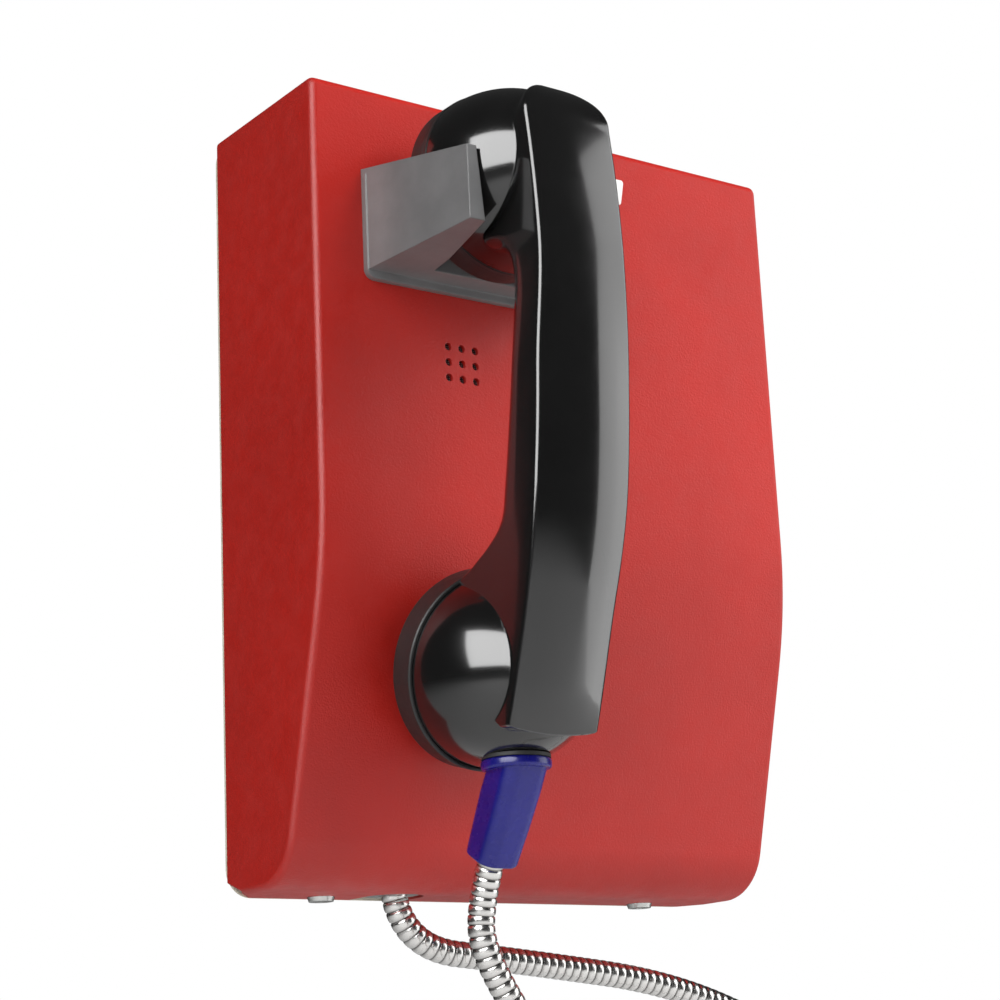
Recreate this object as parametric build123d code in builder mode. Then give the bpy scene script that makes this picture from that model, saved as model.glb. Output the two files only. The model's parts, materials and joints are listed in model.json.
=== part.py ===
"""Slimline wall phone: sheet-steel housing, cradle, armoured handset, and what they hold inside.

Millimetres. +X is to the right, +Y goes into the wall and +Z is up.
The origin is the middle of the four wall holes, on the rear face of the back plate.
"""

import os
from math import asin, cos, degrees, radians, sin, sqrt, tan

from build123d import *

os.makedirs("parts", exist_ok=True)

# ---------------------------------------------------------------- housing sizes
housing_width = 196.0
housing_height = 264.0
housing_depth = 65.0
sheet = 1.5
slope_angle = 15.0
slope_break_height = 101.3
slope_blend_radius = 175.0
underside_bend_radius = 20.0
top_bend_radius = 3.5
side_bend_radius = 2.4
seal_thickness = 1.0
seal_corner_radius = 9.0
plate_thickness = 2.0
flange_reach = 24.0
flange_side_margin = 13.0
corner_relief_width = 8.3
corner_relief_height = 5.0
corner_relief_depth = 14.0
fit_gap = 0.4
wall_hole_spacing_x = 150.0
wall_hole_spacing_z = 200.0
wall_hole_radius = 3.0

# ---------------------------------------------------------------- front panel sizes
# the cradle, the sounder, the handset and the cord share one upright line
line_x = -41.5
cradle_middle_height = 214.15
cradle_base_width = 76.0
cradle_base_height = 38.7
cradle_base_thickness = 2.5
cradle_body_rise = 2.6
cradle_reach = 50.0
cradle_tip_width = 60.0
cradle_tip_drop = 8.0
cradle_tip_rise = 3.0
pocket_floor = 10.5
pocket_back_width = 31.0
pocket_front_width = 48.0
pocket_side_lean = 5.0
pocket_clearance = 0.9
cradle_screw_spacing_x = 58.0
cradle_screw_spacing_z = 22.0
cradle_screw_radius = 2.0
cradle_screw_engagement = 6.0
sounder_middle_height = 171.3
sounder_hole_pitch = 5.43
sounder_hole_radius = 1.35
label_right = 33.0
label_width = 30.0
label_middle_height = 247.7
label_height = 9.6
label_thickness = 0.3

# ---------------------------------------------------------------- handset sizes
ear_height = 225.5
ear_stand_off = 18.3
mouth_height = 67.9
mouth_stand_off = 0.9
mouth_tilt = 15.5
ear_cap_radius = 31.4
mouth_cap_radius = 32.4
cap_band = 8.0
cap_crown = 4.5
cap_inner_depth = 1.2
cap_edge_radius = 1.2
cap_wall = 2.8
cap_spigot = 6.0
head_radius = 31.2
head_depth = 41.0
head_wall = 3.0
cap_gap = 0.1
grip_width = 33.0
grip_crown_height = 176.0
grip_crown_reach = 68.6
grip_bow_radius = 420.0
grip_turn_height = 115.0
grip_turn_radius = 200.0
grip_lower_lean = 17.5
grip_foot_height = 41.0
grip_top_height = 231.0
grip_inner_reach = 46.5
grip_inner_lower_reach = 38.0
grip_inner_rise = 33.0
grip_inner_radius = 7.0
grip_crease_radius = 0.8
grip_channel_radius = 6.0
sound_hole_radius = 1.0
sound_hole_ring = 7.0
receiver_radius = 20.0
receiver_thickness = 9.0
microphone_radius = 12.0
microphone_thickness = 7.0
gasket_thickness = 1.0
gasket_width = 3.0

# ---------------------------------------------------------------- cord sizes
cord_radius = 4.4
cord_socket_depth = 8.0
cord_boot_lead = 12.5
cord_bend_share = 0.45
cord_exit_share = 0.6
boot_seat_height = 36.4
boot_from_panel = 20.0
boot_flange_radius = 11.2
boot_flange_thickness = 3.2
boot_washer_thickness = 1.2
boot_neck_radius = 9.6
boot_neck_height = 5.0
boot_root_width = 16.6
boot_tip_width = 14.7
boot_drop = 29.4
boot_swing = 15.7
boot_stem_radius = 5.0
boot_stem_length = 11.0
cord_slot_width = 21.0
cord_from_wall = 11.5
bush_collar_radius = 9.0
bush_collar_thickness = 1.4
bush_thread_radius = 6.0
bush_length = 16.0
bush_nut_flats = 15.0
bush_nut_thickness = 4.0

# ---------------------------------------------------------------- hook switch sizes
plunger_radius = 4.0
plunger_clearance = 0.05
plunger_flange_radius = 6.5
plunger_flange_thickness = 1.5
plunger_stop_gap = 3.5
plunger_below_ear = 13.0
plunger_proud = 3.0
plunger_tail_radius = 2.5
spring_wire_radius = 0.4
spring_radius = 5.2
spring_turns = 4.0
bracket_sheet = 1.5
bracket_width = 72.0
bracket_channel = 40.0
bracket_height = 36.0
bracket_depth = 19.0
switch_width = 20.0
switch_height = 6.4
switch_depth = 10.5
switch_pin_spacing = 9.5
switch_pin_radius = 1.0

# ---------------------------------------------------------------- inside sizes
security_screw_spacing = 134.0
security_screw_from_wall = 8.0
security_screw_radius = 2.0
security_head_radius = 4.6
security_head_height = 1.6
security_screw_length = 10.0
captive_nut_radius = 4.2
captive_nut_height = 4.0
hook_tab_width = 16.0
hook_tab_spacing = 110.0
hook_tab_reach = 7.0
hook_tab_drop = 12.0
hook_lip_height = 6.0
hook_rail_length = 140.0
hook_rail_depth = 20.0
hook_rail_drop = 9.8
cable_entry_drop = 62.0
grommet_bore_radius = 3.5
grommet_body_radius = 7.0
grommet_lip_radius = 10.0
grommet_lip_thickness = 2.0
board_width = 104.0
board_height = 92.0
board_thickness = 1.6
board_shift = 12.0
standoff_height = 9.0
standoff_radius = 3.0
board_screw_radius = 1.5
board_hole_margin = 5.0
sounder_radius = 14.0
sounder_thickness = 7.0
screen_thickness = 0.5
clamp_sheet = 1.2
clamp_length = 46.0
clamp_width = 8.0
clamp_stud_spacing = 38.0
clamp_stud_radius = 1.5
earth_stud_x = 60.0
earth_stud_drop = 70.0

# ---------------------------------------------------------------- shared places
base_z = -housing_height / 2
top_z = housing_height / 2
front_y = -housing_depth
inner_front_y = front_y + sheet
inner_top_z = top_z - sheet
slope = tan(radians(slope_angle))
underside_depth = housing_depth - slope * slope_break_height
flange_floor_z = base_z + sheet + fit_gap
flange_top_z = flange_floor_z + plate_thickness
cradle_z = base_z + cradle_middle_height
ear_z = base_z + ear_height
sounder_z = base_z + sounder_middle_height
plunger_z = ear_z - plunger_below_ear
pocket_floor_y = front_y - pocket_floor
ear_rim_y = front_y - ear_stand_off
ear_seam_y = ear_rim_y - cap_band
mouth_out = Vector(0, -cos(radians(mouth_tilt)), -sin(radians(mouth_tilt)))
mouth_rim = Vector(line_x, front_y - mouth_stand_off, base_z + mouth_height)
mouth_seam = mouth_rim + mouth_out * cap_band
ear_plane = Plane(
    origin=(line_x, ear_seam_y, ear_z), x_dir=(0, -1, 0), z_dir=(1, 0, 0)
)
mouth_plane = Plane(origin=mouth_seam, x_dir=mouth_out, z_dir=(1, 0, 0))
boot_seat_z = base_z + boot_seat_height
boot_y = front_y - boot_from_panel
boot_tip = Vector(
    line_x, boot_y + boot_swing, boot_seat_z - boot_washer_thickness - boot_drop
)


def facing(y):
    """The plane parallel to the wall at y; extruding from it goes away from the wall."""
    return Plane.XZ.offset(-y)


def save(part, name):
    part.label = name
    export_step(part, f"parts/{name}.step")


# ---------------------------------------------------------------- front cover
def side_outline(rear):
    """Side profile of the housing, closed by a straight edge at the given rear y."""
    with BuildSketch(Plane.YZ) as outline:
        with BuildLine():
            Polyline(
                (rear, top_z),
                (front_y, top_z),
                (front_y, base_z + slope_break_height),
                (-underside_depth, base_z),
                (rear, base_z),
                close=True,
            )
        make_face()
        # the sketch's own X is the depth and its Y is the height
        fillet(
            outline.vertices().group_by(Axis.Y)[0].sort_by(Axis.X)[0],
            underside_bend_radius,
        )
        fillet(
            outline.vertices().group_by(Axis.X)[0].sort_by(Axis.Y)[0],
            slope_blend_radius,
        )
        fillet(
            outline.vertices().group_by(Axis.Y)[-1].sort_by(Axis.X)[0], top_bend_radius
        )
    return outline.sketch


def bend_sides(solid, rear, radius):
    """Rounds the long side edges of the housing shape, apart from its open rear edge."""
    edges = solid.faces().filter_by(Axis.X).edges()
    return fillet(edges.filter_by(lambda edge: edge.center().Y < rear - 0.01), radius)


outer_outline = side_outline(-seal_thickness)
inner_outline = offset(side_outline(sheet), amount=-sheet)

with BuildPart() as housing_space:
    extrude(inner_outline, amount=housing_width / 2 - sheet, both=True)
    bend_sides(housing_space, 0, side_bend_radius - sheet)

with BuildPart() as front_cover:
    extrude(outer_outline, amount=housing_width / 2, both=True)
    bend_sides(front_cover, -seal_thickness, side_bend_radius)
    add(housing_space.part, mode=Mode.SUBTRACT)
    # openings in the front panel
    with BuildSketch(facing(inner_front_y)):
        with Locations((line_x, sounder_z)):
            with GridLocations(sounder_hole_pitch, sounder_hole_pitch, 3, 3):
                Circle(sounder_hole_radius)
        with Locations((line_x, cradle_z)):
            with GridLocations(cradle_screw_spacing_x, cradle_screw_spacing_z, 2, 2):
                Circle(cradle_screw_radius + fit_gap)
        with Locations((line_x, plunger_z)):
            Circle(plunger_radius + fit_gap)
    extrude(amount=sheet, mode=Mode.SUBTRACT)
    # openings in the underside: the cord slot is open to the wall
    with BuildSketch(Plane.XY.offset(base_z)):
        with Locations((line_x, 0)):
            SlotOverall(
                2 * cord_from_wall + cord_slot_width, cord_slot_width, rotation=90
            )
        with Locations((0, -security_screw_from_wall)):
            with GridLocations(security_screw_spacing, 1, 2, 1):
                Circle(security_screw_radius + fit_gap)
    extrude(amount=sheet, mode=Mode.SUBTRACT)
    # the lower rear corners are cut off where the folded flanges meet
    for side in (-1, 1):
        edge_x = side * housing_width / 2
        with BuildSketch(Plane.XZ) as relief:
            with BuildLine():
                Polyline(
                    (edge_x, base_z),
                    (edge_x, base_z + corner_relief_height),
                    (edge_x - side * corner_relief_width, base_z),
                    close=True,
                )
            make_face()
        apex = Vertex(edge_x, -corner_relief_depth, base_z)
        loft([relief.sketch.face(), apex], mode=Mode.SUBTRACT)
save(front_cover.part, "front_cover")

# ---------------------------------------------------------------- back plate and seal
plate_width = housing_width - 2 * (sheet + fit_gap)
plate_height = housing_height - 2 * (sheet + fit_gap)
plate_corner = seal_corner_radius - sheet - fit_gap

with BuildPart() as edge_seal:
    with BuildSketch(facing(0)):
        RectangleRounded(housing_width, housing_height, seal_corner_radius)
        RectangleRounded(plate_width, plate_height, plate_corner, mode=Mode.SUBTRACT)
    extrude(amount=seal_thickness)
save(edge_seal.part, "edge_seal")

with BuildPart() as back_plate:
    with BuildSketch(facing(0)):
        RectangleRounded(plate_width, plate_height, plate_corner)
        with GridLocations(wall_hole_spacing_x, wall_hole_spacing_z, 2, 2):
            Circle(wall_hole_radius, mode=Mode.SUBTRACT)
        with Locations((0, -cable_entry_drop)):
            Circle(grommet_body_radius, mode=Mode.SUBTRACT)
    extrude(amount=plate_thickness)
    # lower flange, which carries the cord bush and the captive nuts
    with BuildSketch(Plane.XY.offset(flange_floor_z)):
        with Locations((0, -flange_reach / 2)):
            Rectangle(plate_width - 2 * flange_side_margin, flange_reach)
    extrude(amount=plate_thickness)
    with BuildSketch(Plane.XY.offset(flange_floor_z)):
        with Locations((line_x, -cord_from_wall)):
            Circle(bush_thread_radius)
        with Locations((0, -security_screw_from_wall)):
            with GridLocations(security_screw_spacing, 1, 2, 1):
                Circle(security_screw_radius + fit_gap / 2)
    extrude(amount=plate_thickness, mode=Mode.SUBTRACT)
    # upper tabs, which the hook rail drops behind
    with BuildSketch(facing(-plate_thickness)):
        with Locations((0, inner_top_z - hook_tab_drop)):
            with GridLocations(hook_tab_spacing, 1, 2, 1):
                Rectangle(hook_tab_width, plate_thickness)
    extrude(amount=hook_tab_reach)
    with BuildSketch(facing(-plate_thickness - hook_tab_reach)):
        with Locations(
            (0, inner_top_z - hook_tab_drop - plate_thickness / 2 + hook_lip_height / 2)
        ):
            with GridLocations(hook_tab_spacing, 1, 2, 1):
                Rectangle(hook_tab_width, hook_lip_height)
    extrude(amount=plate_thickness)
save(back_plate.part, "back_plate")

with BuildPart() as hook_rail:
    with BuildSketch(facing(-plate_thickness - fit_gap)):
        with Locations((0, inner_top_z - sheet / 2)):
            Rectangle(hook_rail_length, sheet)
    extrude(amount=hook_rail_depth)
    with BuildSketch(facing(-plate_thickness - hook_tab_reach + sheet + fit_gap)):
        with Locations((0, inner_top_z - hook_rail_drop / 2)):
            Rectangle(hook_rail_length, hook_rail_drop)
    extrude(amount=sheet)
save(hook_rail.part, "hook_rail")

# ---------------------------------------------------------------- security fixings
with BuildPart() as security_screws:
    for side in (-1, 1):
        place = (side * security_screw_spacing / 2, -security_screw_from_wall)
        with BuildSketch(Plane.XY.offset(base_z)):
            with Locations(place):
                Circle(security_head_radius)
        extrude(amount=-security_head_height, taper=18)
        with BuildSketch(Plane.XY.offset(base_z)):
            with Locations(place):
                Circle(security_screw_radius)
        extrude(amount=security_screw_length)
        # hexagon socket with the centre pin left standing
        with BuildSketch(Plane.XY.offset(base_z - security_head_height)):
            with Locations(place):
                RegularPolygon(1.5, 6)
                Circle(0.6, mode=Mode.SUBTRACT)
        extrude(amount=1.1, mode=Mode.SUBTRACT)
save(security_screws.part, "security_screws")

with BuildPart() as captive_nuts:
    with BuildSketch(Plane.XY.offset(flange_top_z)):
        with Locations((0, -security_screw_from_wall)):
            with GridLocations(security_screw_spacing, 1, 2, 1):
                Circle(captive_nut_radius)
                Circle(security_screw_radius, mode=Mode.SUBTRACT)
    extrude(amount=captive_nut_height)
save(captive_nuts.part, "captive_nuts")

# ---------------------------------------------------------------- line cable entry
with BuildPart() as line_grommet:
    with BuildSketch(facing(0)):
        with Locations((0, -cable_entry_drop)):
            Circle(grommet_body_radius)
    extrude(amount=plate_thickness)
    with BuildSketch(facing(-plate_thickness)):
        with Locations((0, -cable_entry_drop)):
            Circle(grommet_lip_radius)
    extrude(amount=grommet_lip_thickness)
    with BuildSketch(facing(0)):
        with Locations((0, -cable_entry_drop)):
            Circle(grommet_bore_radius)
    extrude(amount=plate_thickness + grommet_lip_thickness, mode=Mode.SUBTRACT)
save(line_grommet.part, "line_grommet")

# ---------------------------------------------------------------- label
with BuildPart() as blank_label:
    with BuildSketch(facing(front_y)) as label_outline:
        with Locations((label_right - label_width / 2, base_z + label_middle_height)):
            Trapezoid(label_width, label_height, 79, rotation=180)
        fillet(label_outline.vertices(), 1.0)
    extrude(amount=label_thickness)
save(blank_label.part, "blank_label")

# ---------------------------------------------------------------- cradle
cradle_top = base_z + cradle_middle_height + cradle_base_height / 2
cradle_bottom = base_z + cradle_middle_height - cradle_base_height / 2
cradle_tip_y = front_y - cradle_reach
cradle_tip_top = cradle_top - cradle_tip_drop
cradle_tip_bottom = cradle_bottom + cradle_body_rise + cradle_tip_rise


def head_radius_at(depth):
    """Radius of a handset head at a depth outward from its seam."""
    return head_radius * sqrt(1 - (depth / head_depth) ** 2)


def pocket_outline(y, radius):
    """Upright U of the given radius about the ear line, open at the top."""
    with BuildSketch(facing(y)) as outline:
        with Locations((line_x, ear_z)):
            Circle(radius)
            Rectangle(
                2 * radius, 2 * cradle_base_height, align=(Align.CENTER, Align.MIN)
            )
    return outline.sketch.face()


def pocket_wedge(y, width):
    """Upright trapezium that widens upwards, standing across the whole cradle."""
    rise = 2 * cradle_base_height
    half = width / 2
    top_half = half + rise * tan(radians(pocket_side_lean))
    with BuildSketch(facing(y)) as outline:
        with BuildLine():
            Polyline(
                (line_x - half, cradle_bottom),
                (line_x + half, cradle_bottom),
                (line_x + top_half, cradle_bottom + rise),
                (line_x - top_half, cradle_bottom + rise),
                close=True,
            )
        make_face()
    return outline.sketch.face()


with BuildPart() as cradle:
    with BuildSketch(facing(front_y)):
        with Locations((line_x, cradle_z)):
            RectangleRounded(cradle_base_width, cradle_base_height, 3.5)
    extrude(amount=cradle_base_thickness)
    body_middle = (cradle_top + cradle_bottom + cradle_body_rise) / 2
    with BuildSketch(facing(front_y)):
        with Locations((line_x, body_middle)):
            Rectangle(cradle_base_width, cradle_base_height - cradle_body_rise)
    with BuildSketch(facing(cradle_tip_y)):
        with Locations((line_x, (cradle_tip_top + cradle_tip_bottom) / 2)):
            Rectangle(cradle_tip_width, cradle_tip_top - cradle_tip_bottom)
    loft()
    # pocket that clears the ear cap and head, open upwards and outwards
    band_y = ear_seam_y - 1.0
    middle_y = (band_y + cradle_tip_y) / 2
    cap_space = ear_cap_radius + pocket_clearance
    middle_space = head_radius_at(ear_seam_y - middle_y) + pocket_clearance
    tip_space = head_radius_at(ear_seam_y - cradle_tip_y + 1.0) + pocket_clearance
    outlines = [
        pocket_outline(pocket_floor_y, cap_space),
        pocket_outline(band_y, cap_space),
        pocket_outline(middle_y, middle_space),
        pocket_outline(cradle_tip_y - 1.0, tip_space),
    ]
    for near, far in zip(outlines, outlines[1:]):
        loft([near, far], ruled=True, mode=Mode.SUBTRACT)
    wedges = [
        pocket_wedge(pocket_floor_y, pocket_back_width),
        pocket_wedge(cradle_tip_y - 1.0, pocket_front_width),
    ]
    loft(wedges, mode=Mode.SUBTRACT)
    # blind screw holes from behind and the plunger bore
    with BuildSketch(facing(front_y)):
        with Locations((line_x, cradle_z)):
            with GridLocations(cradle_screw_spacing_x, cradle_screw_spacing_z, 2, 2):
                Circle(cradle_screw_radius)
    extrude(amount=cradle_screw_engagement, mode=Mode.SUBTRACT)
    with BuildSketch(facing(front_y)):
        with Locations((line_x, plunger_z)):
            Circle(plunger_radius + plunger_clearance)
    extrude(amount=pocket_floor, mode=Mode.SUBTRACT)
save(cradle.part, "cradle")

with BuildPart() as cradle_screws:
    for column in (-1, 1):
        for row in (-1, 1):
            place = (
                line_x + column * cradle_screw_spacing_x / 2,
                cradle_z + row * cradle_screw_spacing_z / 2,
            )
            head_y = inner_front_y + bracket_sheet
            with BuildSketch(facing(head_y)):
                with Locations(place):
                    Circle(cradle_screw_radius)
            extrude(amount=bracket_sheet + sheet + cradle_screw_engagement - 1.0)
            with BuildSketch(facing(head_y)):
                with Locations(place):
                    Circle(2 * cradle_screw_radius)
            extrude(amount=-2.2)
            with BuildSketch(facing(head_y + 2.2)):
                with Locations(place):
                    Rectangle(2.4 * cradle_screw_radius, 0.6)
                    Rectangle(0.6, 2.4 * cradle_screw_radius)
            extrude(amount=1.2, mode=Mode.SUBTRACT)
save(cradle_screws.part, "cradle_screws")

# ---------------------------------------------------------------- hook switch
bracket_y = inner_front_y + bracket_depth
plunger_flange_y = inner_front_y + plunger_stop_gap
plunger_tip_y = pocket_floor_y - plunger_proud
plunger_tail_y = bracket_y + 2.0
switch_y = plunger_tail_y + 1.6
switch_top_z = plunger_z + switch_height / 2
switch_pin_y = switch_y + switch_depth - 3.0

with BuildPart() as switch_bracket:
    # hat channel: two feet on the panel, two legs and a top
    for side in (-1, 1):
        with BuildSketch(facing(inner_front_y + bracket_sheet)):
            foot = (bracket_width - bracket_channel) / 2
            with Locations((line_x + side * (bracket_width - foot) / 2, cradle_z)):
                Rectangle(foot, bracket_height)
            with Locations((line_x, cradle_z)):
                with GridLocations(
                    cradle_screw_spacing_x, cradle_screw_spacing_z, 2, 2
                ):
                    Circle(cradle_screw_radius + fit_gap / 4, mode=Mode.SUBTRACT)
        extrude(amount=bracket_sheet)
        with BuildSketch(facing(bracket_y)):
            leg_x = line_x + side * (bracket_channel - bracket_sheet) / 2
            with Locations((leg_x, cradle_z)):
                Rectangle(bracket_sheet, bracket_height)
        extrude(amount=bracket_depth)
    with BuildSketch(facing(bracket_y)):
        with Locations((line_x, cradle_z)):
            Rectangle(bracket_channel, bracket_height)
        with Locations((line_x, plunger_z)):
            Circle(plunger_tail_radius + fit_gap, mode=Mode.SUBTRACT)
    extrude(amount=bracket_sheet)
    # shelf for the switch
    with BuildSketch(Plane.XY.offset(switch_top_z)):
        with Locations((line_x, bracket_y - bracket_sheet)):
            Rectangle(
                switch_width + 4.0,
                switch_depth + 8.0,
                align=(Align.CENTER, Align.MIN),
            )
    extrude(amount=bracket_sheet)
    with BuildSketch(Plane.XY.offset(switch_top_z)):
        with Locations((line_x, switch_pin_y)):
            with GridLocations(switch_pin_spacing, 1, 2, 1):
                Circle(switch_pin_radius)
    extrude(amount=bracket_sheet, mode=Mode.SUBTRACT)
save(switch_bracket.part, "switch_bracket")

with BuildPart() as hook_plunger:
    with BuildSketch(facing(plunger_flange_y)):
        with Locations((line_x, plunger_z)):
            Circle(plunger_radius)
    extrude(amount=plunger_flange_y - plunger_tip_y)
    fillet(hook_plunger.edges().group_by(Axis.Y)[0], 1.5)
    with BuildSketch(facing(plunger_flange_y + plunger_flange_thickness)):
        with Locations((line_x, plunger_z)):
            Circle(plunger_flange_radius)
    extrude(amount=plunger_flange_thickness)
    with BuildSketch(facing(plunger_tail_y)):
        with Locations((line_x, plunger_z)):
            Circle(plunger_tail_radius)
    extrude(amount=plunger_tail_y - plunger_flange_y - plunger_flange_thickness)
save(hook_plunger.part, "hook_plunger")

spring_back_y = bracket_y - bracket_sheet - spring_wire_radius
spring_front_y = plunger_flange_y + plunger_flange_thickness + spring_wire_radius
with BuildPart() as plunger_spring:
    with BuildLine() as coil:
        Helix(
            pitch=(spring_back_y - spring_front_y) / spring_turns,
            height=spring_back_y - spring_front_y,
            radius=spring_radius,
            center=(line_x, spring_front_y, plunger_z),
            direction=(0, 1, 0),
        )
    with BuildSketch(Plane(origin=coil.line @ 0, z_dir=coil.line % 0)):
        Circle(spring_wire_radius)
    sweep(path=coil.line, is_frenet=True)
save(plunger_spring.part, "plunger_spring")

with BuildPart() as hook_switch:
    with BuildSketch(facing(switch_y + switch_depth)):
        with Locations((line_x, plunger_z)):
            Rectangle(switch_width, switch_height)
    extrude(amount=switch_depth)
    with BuildSketch(facing(switch_y)):
        with Locations((line_x, plunger_z)):
            Circle(1.2)
    extrude(amount=1.2)
    with BuildSketch(facing(switch_y + switch_depth)):
        with Locations((line_x, plunger_z)):
            with GridLocations(8.0, 1, 3, 1):
                Rectangle(0.6, 3.2)
    extrude(amount=-3.5)
    # holes for the two mounting pins
    with BuildSketch(Plane.XY.offset(switch_top_z)):
        with Locations((line_x, switch_pin_y)):
            with GridLocations(switch_pin_spacing, 1, 2, 1):
                Circle(switch_pin_radius)
    extrude(amount=-switch_height, mode=Mode.SUBTRACT)
save(hook_switch.part, "hook_switch")

with BuildPart() as switch_screws:
    with BuildSketch(Plane.XY.offset(switch_top_z + bracket_sheet)):
        with Locations((line_x, switch_pin_y)):
            with GridLocations(switch_pin_spacing, 1, 2, 1):
                Circle(switch_pin_radius)
    extrude(amount=-bracket_sheet - switch_height)
    with BuildSketch(Plane.XY.offset(switch_top_z + bracket_sheet)):
        with Locations((line_x, switch_pin_y)):
            with GridLocations(switch_pin_spacing, 1, 2, 1):
                Circle(1.9 * switch_pin_radius)
    extrude(amount=1.3)
save(switch_screws.part, "switch_screws")

# ---------------------------------------------------------------- sounder
screen_y = inner_front_y + screen_thickness
sounder_back_y = screen_y + sounder_thickness

with BuildPart() as sounder_screen:
    with BuildSketch(facing(screen_y)):
        with Locations((line_x, sounder_z)):
            Circle(sounder_radius)
    extrude(amount=screen_thickness)
save(sounder_screen.part, "sounder_screen")

with BuildPart() as sounder:
    with BuildSketch(facing(sounder_back_y)):
        with Locations((line_x, sounder_z)):
            Circle(sounder_radius)
    extrude(amount=sounder_thickness)
    fillet(sounder.edges().group_by(Axis.Y)[-1], 1.0)
    with BuildSketch(facing(screen_y)):
        with Locations((line_x, sounder_z)):
            Circle(sounder_radius - 2.0)
    extrude(amount=-1.5, mode=Mode.SUBTRACT)
save(sounder.part, "sounder")

with BuildPart() as sounder_clamp:
    # strap across the back of the sounder, with a leg and a foot at each end
    strap_reach = (sounder_radius + fit_gap + clamp_sheet) * 2
    with BuildSketch(facing(sounder_back_y + clamp_sheet)):
        with Locations((line_x, sounder_z)):
            Rectangle(strap_reach, clamp_width)
            Circle(2.5, mode=Mode.SUBTRACT)
    extrude(amount=clamp_sheet)
    for side in (-1, 1):
        with BuildSketch(facing(sounder_back_y + clamp_sheet)):
            with Locations((line_x + side * (strap_reach - clamp_sheet) / 2, sounder_z)):
                Rectangle(clamp_sheet, clamp_width)
        extrude(amount=clamp_sheet + sounder_thickness + screen_thickness)
        with BuildSketch(facing(inner_front_y + clamp_sheet)):
            foot_middle = (clamp_length + strap_reach) / 4 - clamp_sheet / 2
            with Locations((line_x + side * foot_middle, sounder_z)):
                Rectangle((clamp_length - strap_reach) / 2 + clamp_sheet, clamp_width)
            with Locations((line_x + side * clamp_stud_spacing / 2, sounder_z)):
                Circle(clamp_stud_radius + fit_gap / 4, mode=Mode.SUBTRACT)
        extrude(amount=clamp_sheet)
save(sounder_clamp.part, "sounder_clamp")

with BuildPart() as clamp_studs:
    with BuildSketch(facing(inner_front_y)):
        with Locations((line_x, sounder_z)):
            with GridLocations(clamp_stud_spacing, 1, 2, 1):
                Circle(clamp_stud_radius)
    extrude(amount=-6.0)
save(clamp_studs.part, "clamp_studs")

with BuildPart() as clamp_nuts:
    with BuildSketch(facing(inner_front_y + clamp_sheet)):
        with Locations((line_x, sounder_z)):
            with GridLocations(clamp_stud_spacing, 1, 2, 1):
                RegularPolygon(2.75, 6, major_radius=False)
                Circle(clamp_stud_radius, mode=Mode.SUBTRACT)
    extrude(amount=-2.4)
save(clamp_nuts.part, "clamp_nuts")

# ---------------------------------------------------------------- circuit board
board_y = -plate_thickness - standoff_height
board_place = (board_shift, 0)
board_hole_x = board_width - 2 * board_hole_margin
board_hole_z = board_height - 2 * board_hole_margin

with BuildPart() as board_standoffs:
    with BuildSketch(facing(-plate_thickness)):
        with Locations(board_place):
            with GridLocations(board_hole_x, board_hole_z, 2, 2):
                Circle(standoff_radius)
                Circle(board_screw_radius, mode=Mode.SUBTRACT)
    extrude(amount=standoff_height)
save(board_standoffs.part, "board_standoffs")

with BuildPart() as circuit_board:
    with BuildSketch(facing(board_y)):
        with Locations(board_place):
            RectangleRounded(board_width, board_height, 2.0)
            with GridLocations(board_hole_x, board_hole_z, 2, 2):
                Circle(board_screw_radius + fit_gap / 4, mode=Mode.SUBTRACT)
    extrude(amount=board_thickness)
save(circuit_board.part, "circuit_board")

part_y = board_y - board_thickness

with BuildPart() as board_screws:
    with BuildSketch(facing(part_y)):
        with Locations(board_place):
            with GridLocations(board_hole_x, board_hole_z, 2, 2):
                Circle(2 * board_screw_radius)
    extrude(amount=1.8)
    with BuildSketch(facing(part_y)):
        with Locations(board_place):
            with GridLocations(board_hole_x, board_hole_z, 2, 2):
                Circle(board_screw_radius)
    extrude(amount=-board_thickness - standoff_height + 2.0)
    with BuildSketch(facing(part_y - 1.8)):
        with Locations(board_place):
            with GridLocations(board_hole_x, board_hole_z, 2, 2):
                Rectangle(3.6, 0.6)
                Rectangle(0.6, 3.6)
    extrude(amount=-1.0, mode=Mode.SUBTRACT)
save(board_screws.part, "board_screws")

with BuildPart() as line_transformer:
    with BuildSketch(facing(part_y)):
        with Locations((board_shift - 26.0, 22.0)):
            Rectangle(24.0, 20.0)
    extrude(amount=16.0)
    with BuildSketch(facing(part_y - 3.0)):
        with Locations((board_shift - 26.0, 22.0)):
            Rectangle(18.0, 26.0)
    extrude(amount=10.0)
save(line_transformer.part, "line_transformer")

with BuildPart() as board_capacitors:
    with BuildSketch(facing(part_y)):
        with Locations((board_shift + 18.0, 24.0)):
            with GridLocations(14.0, 1, 3, 1):
                Circle(4.0)
    extrude(amount=12.0)
    fillet(board_capacitors.edges().group_by(Axis.Y)[0], 0.6)
save(board_capacitors.part, "board_capacitors")

with BuildPart() as line_chips:
    with BuildSketch(facing(part_y)):
        with Locations((board_shift + 10.0, 0.0)):
            with GridLocations(26.0, 1, 2, 1):
                Rectangle(18.0, 7.0)
    extrude(amount=3.2)
    chamfer(line_chips.edges().group_by(Axis.Y)[0], 0.5)
save(line_chips.part, "line_chips")

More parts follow.
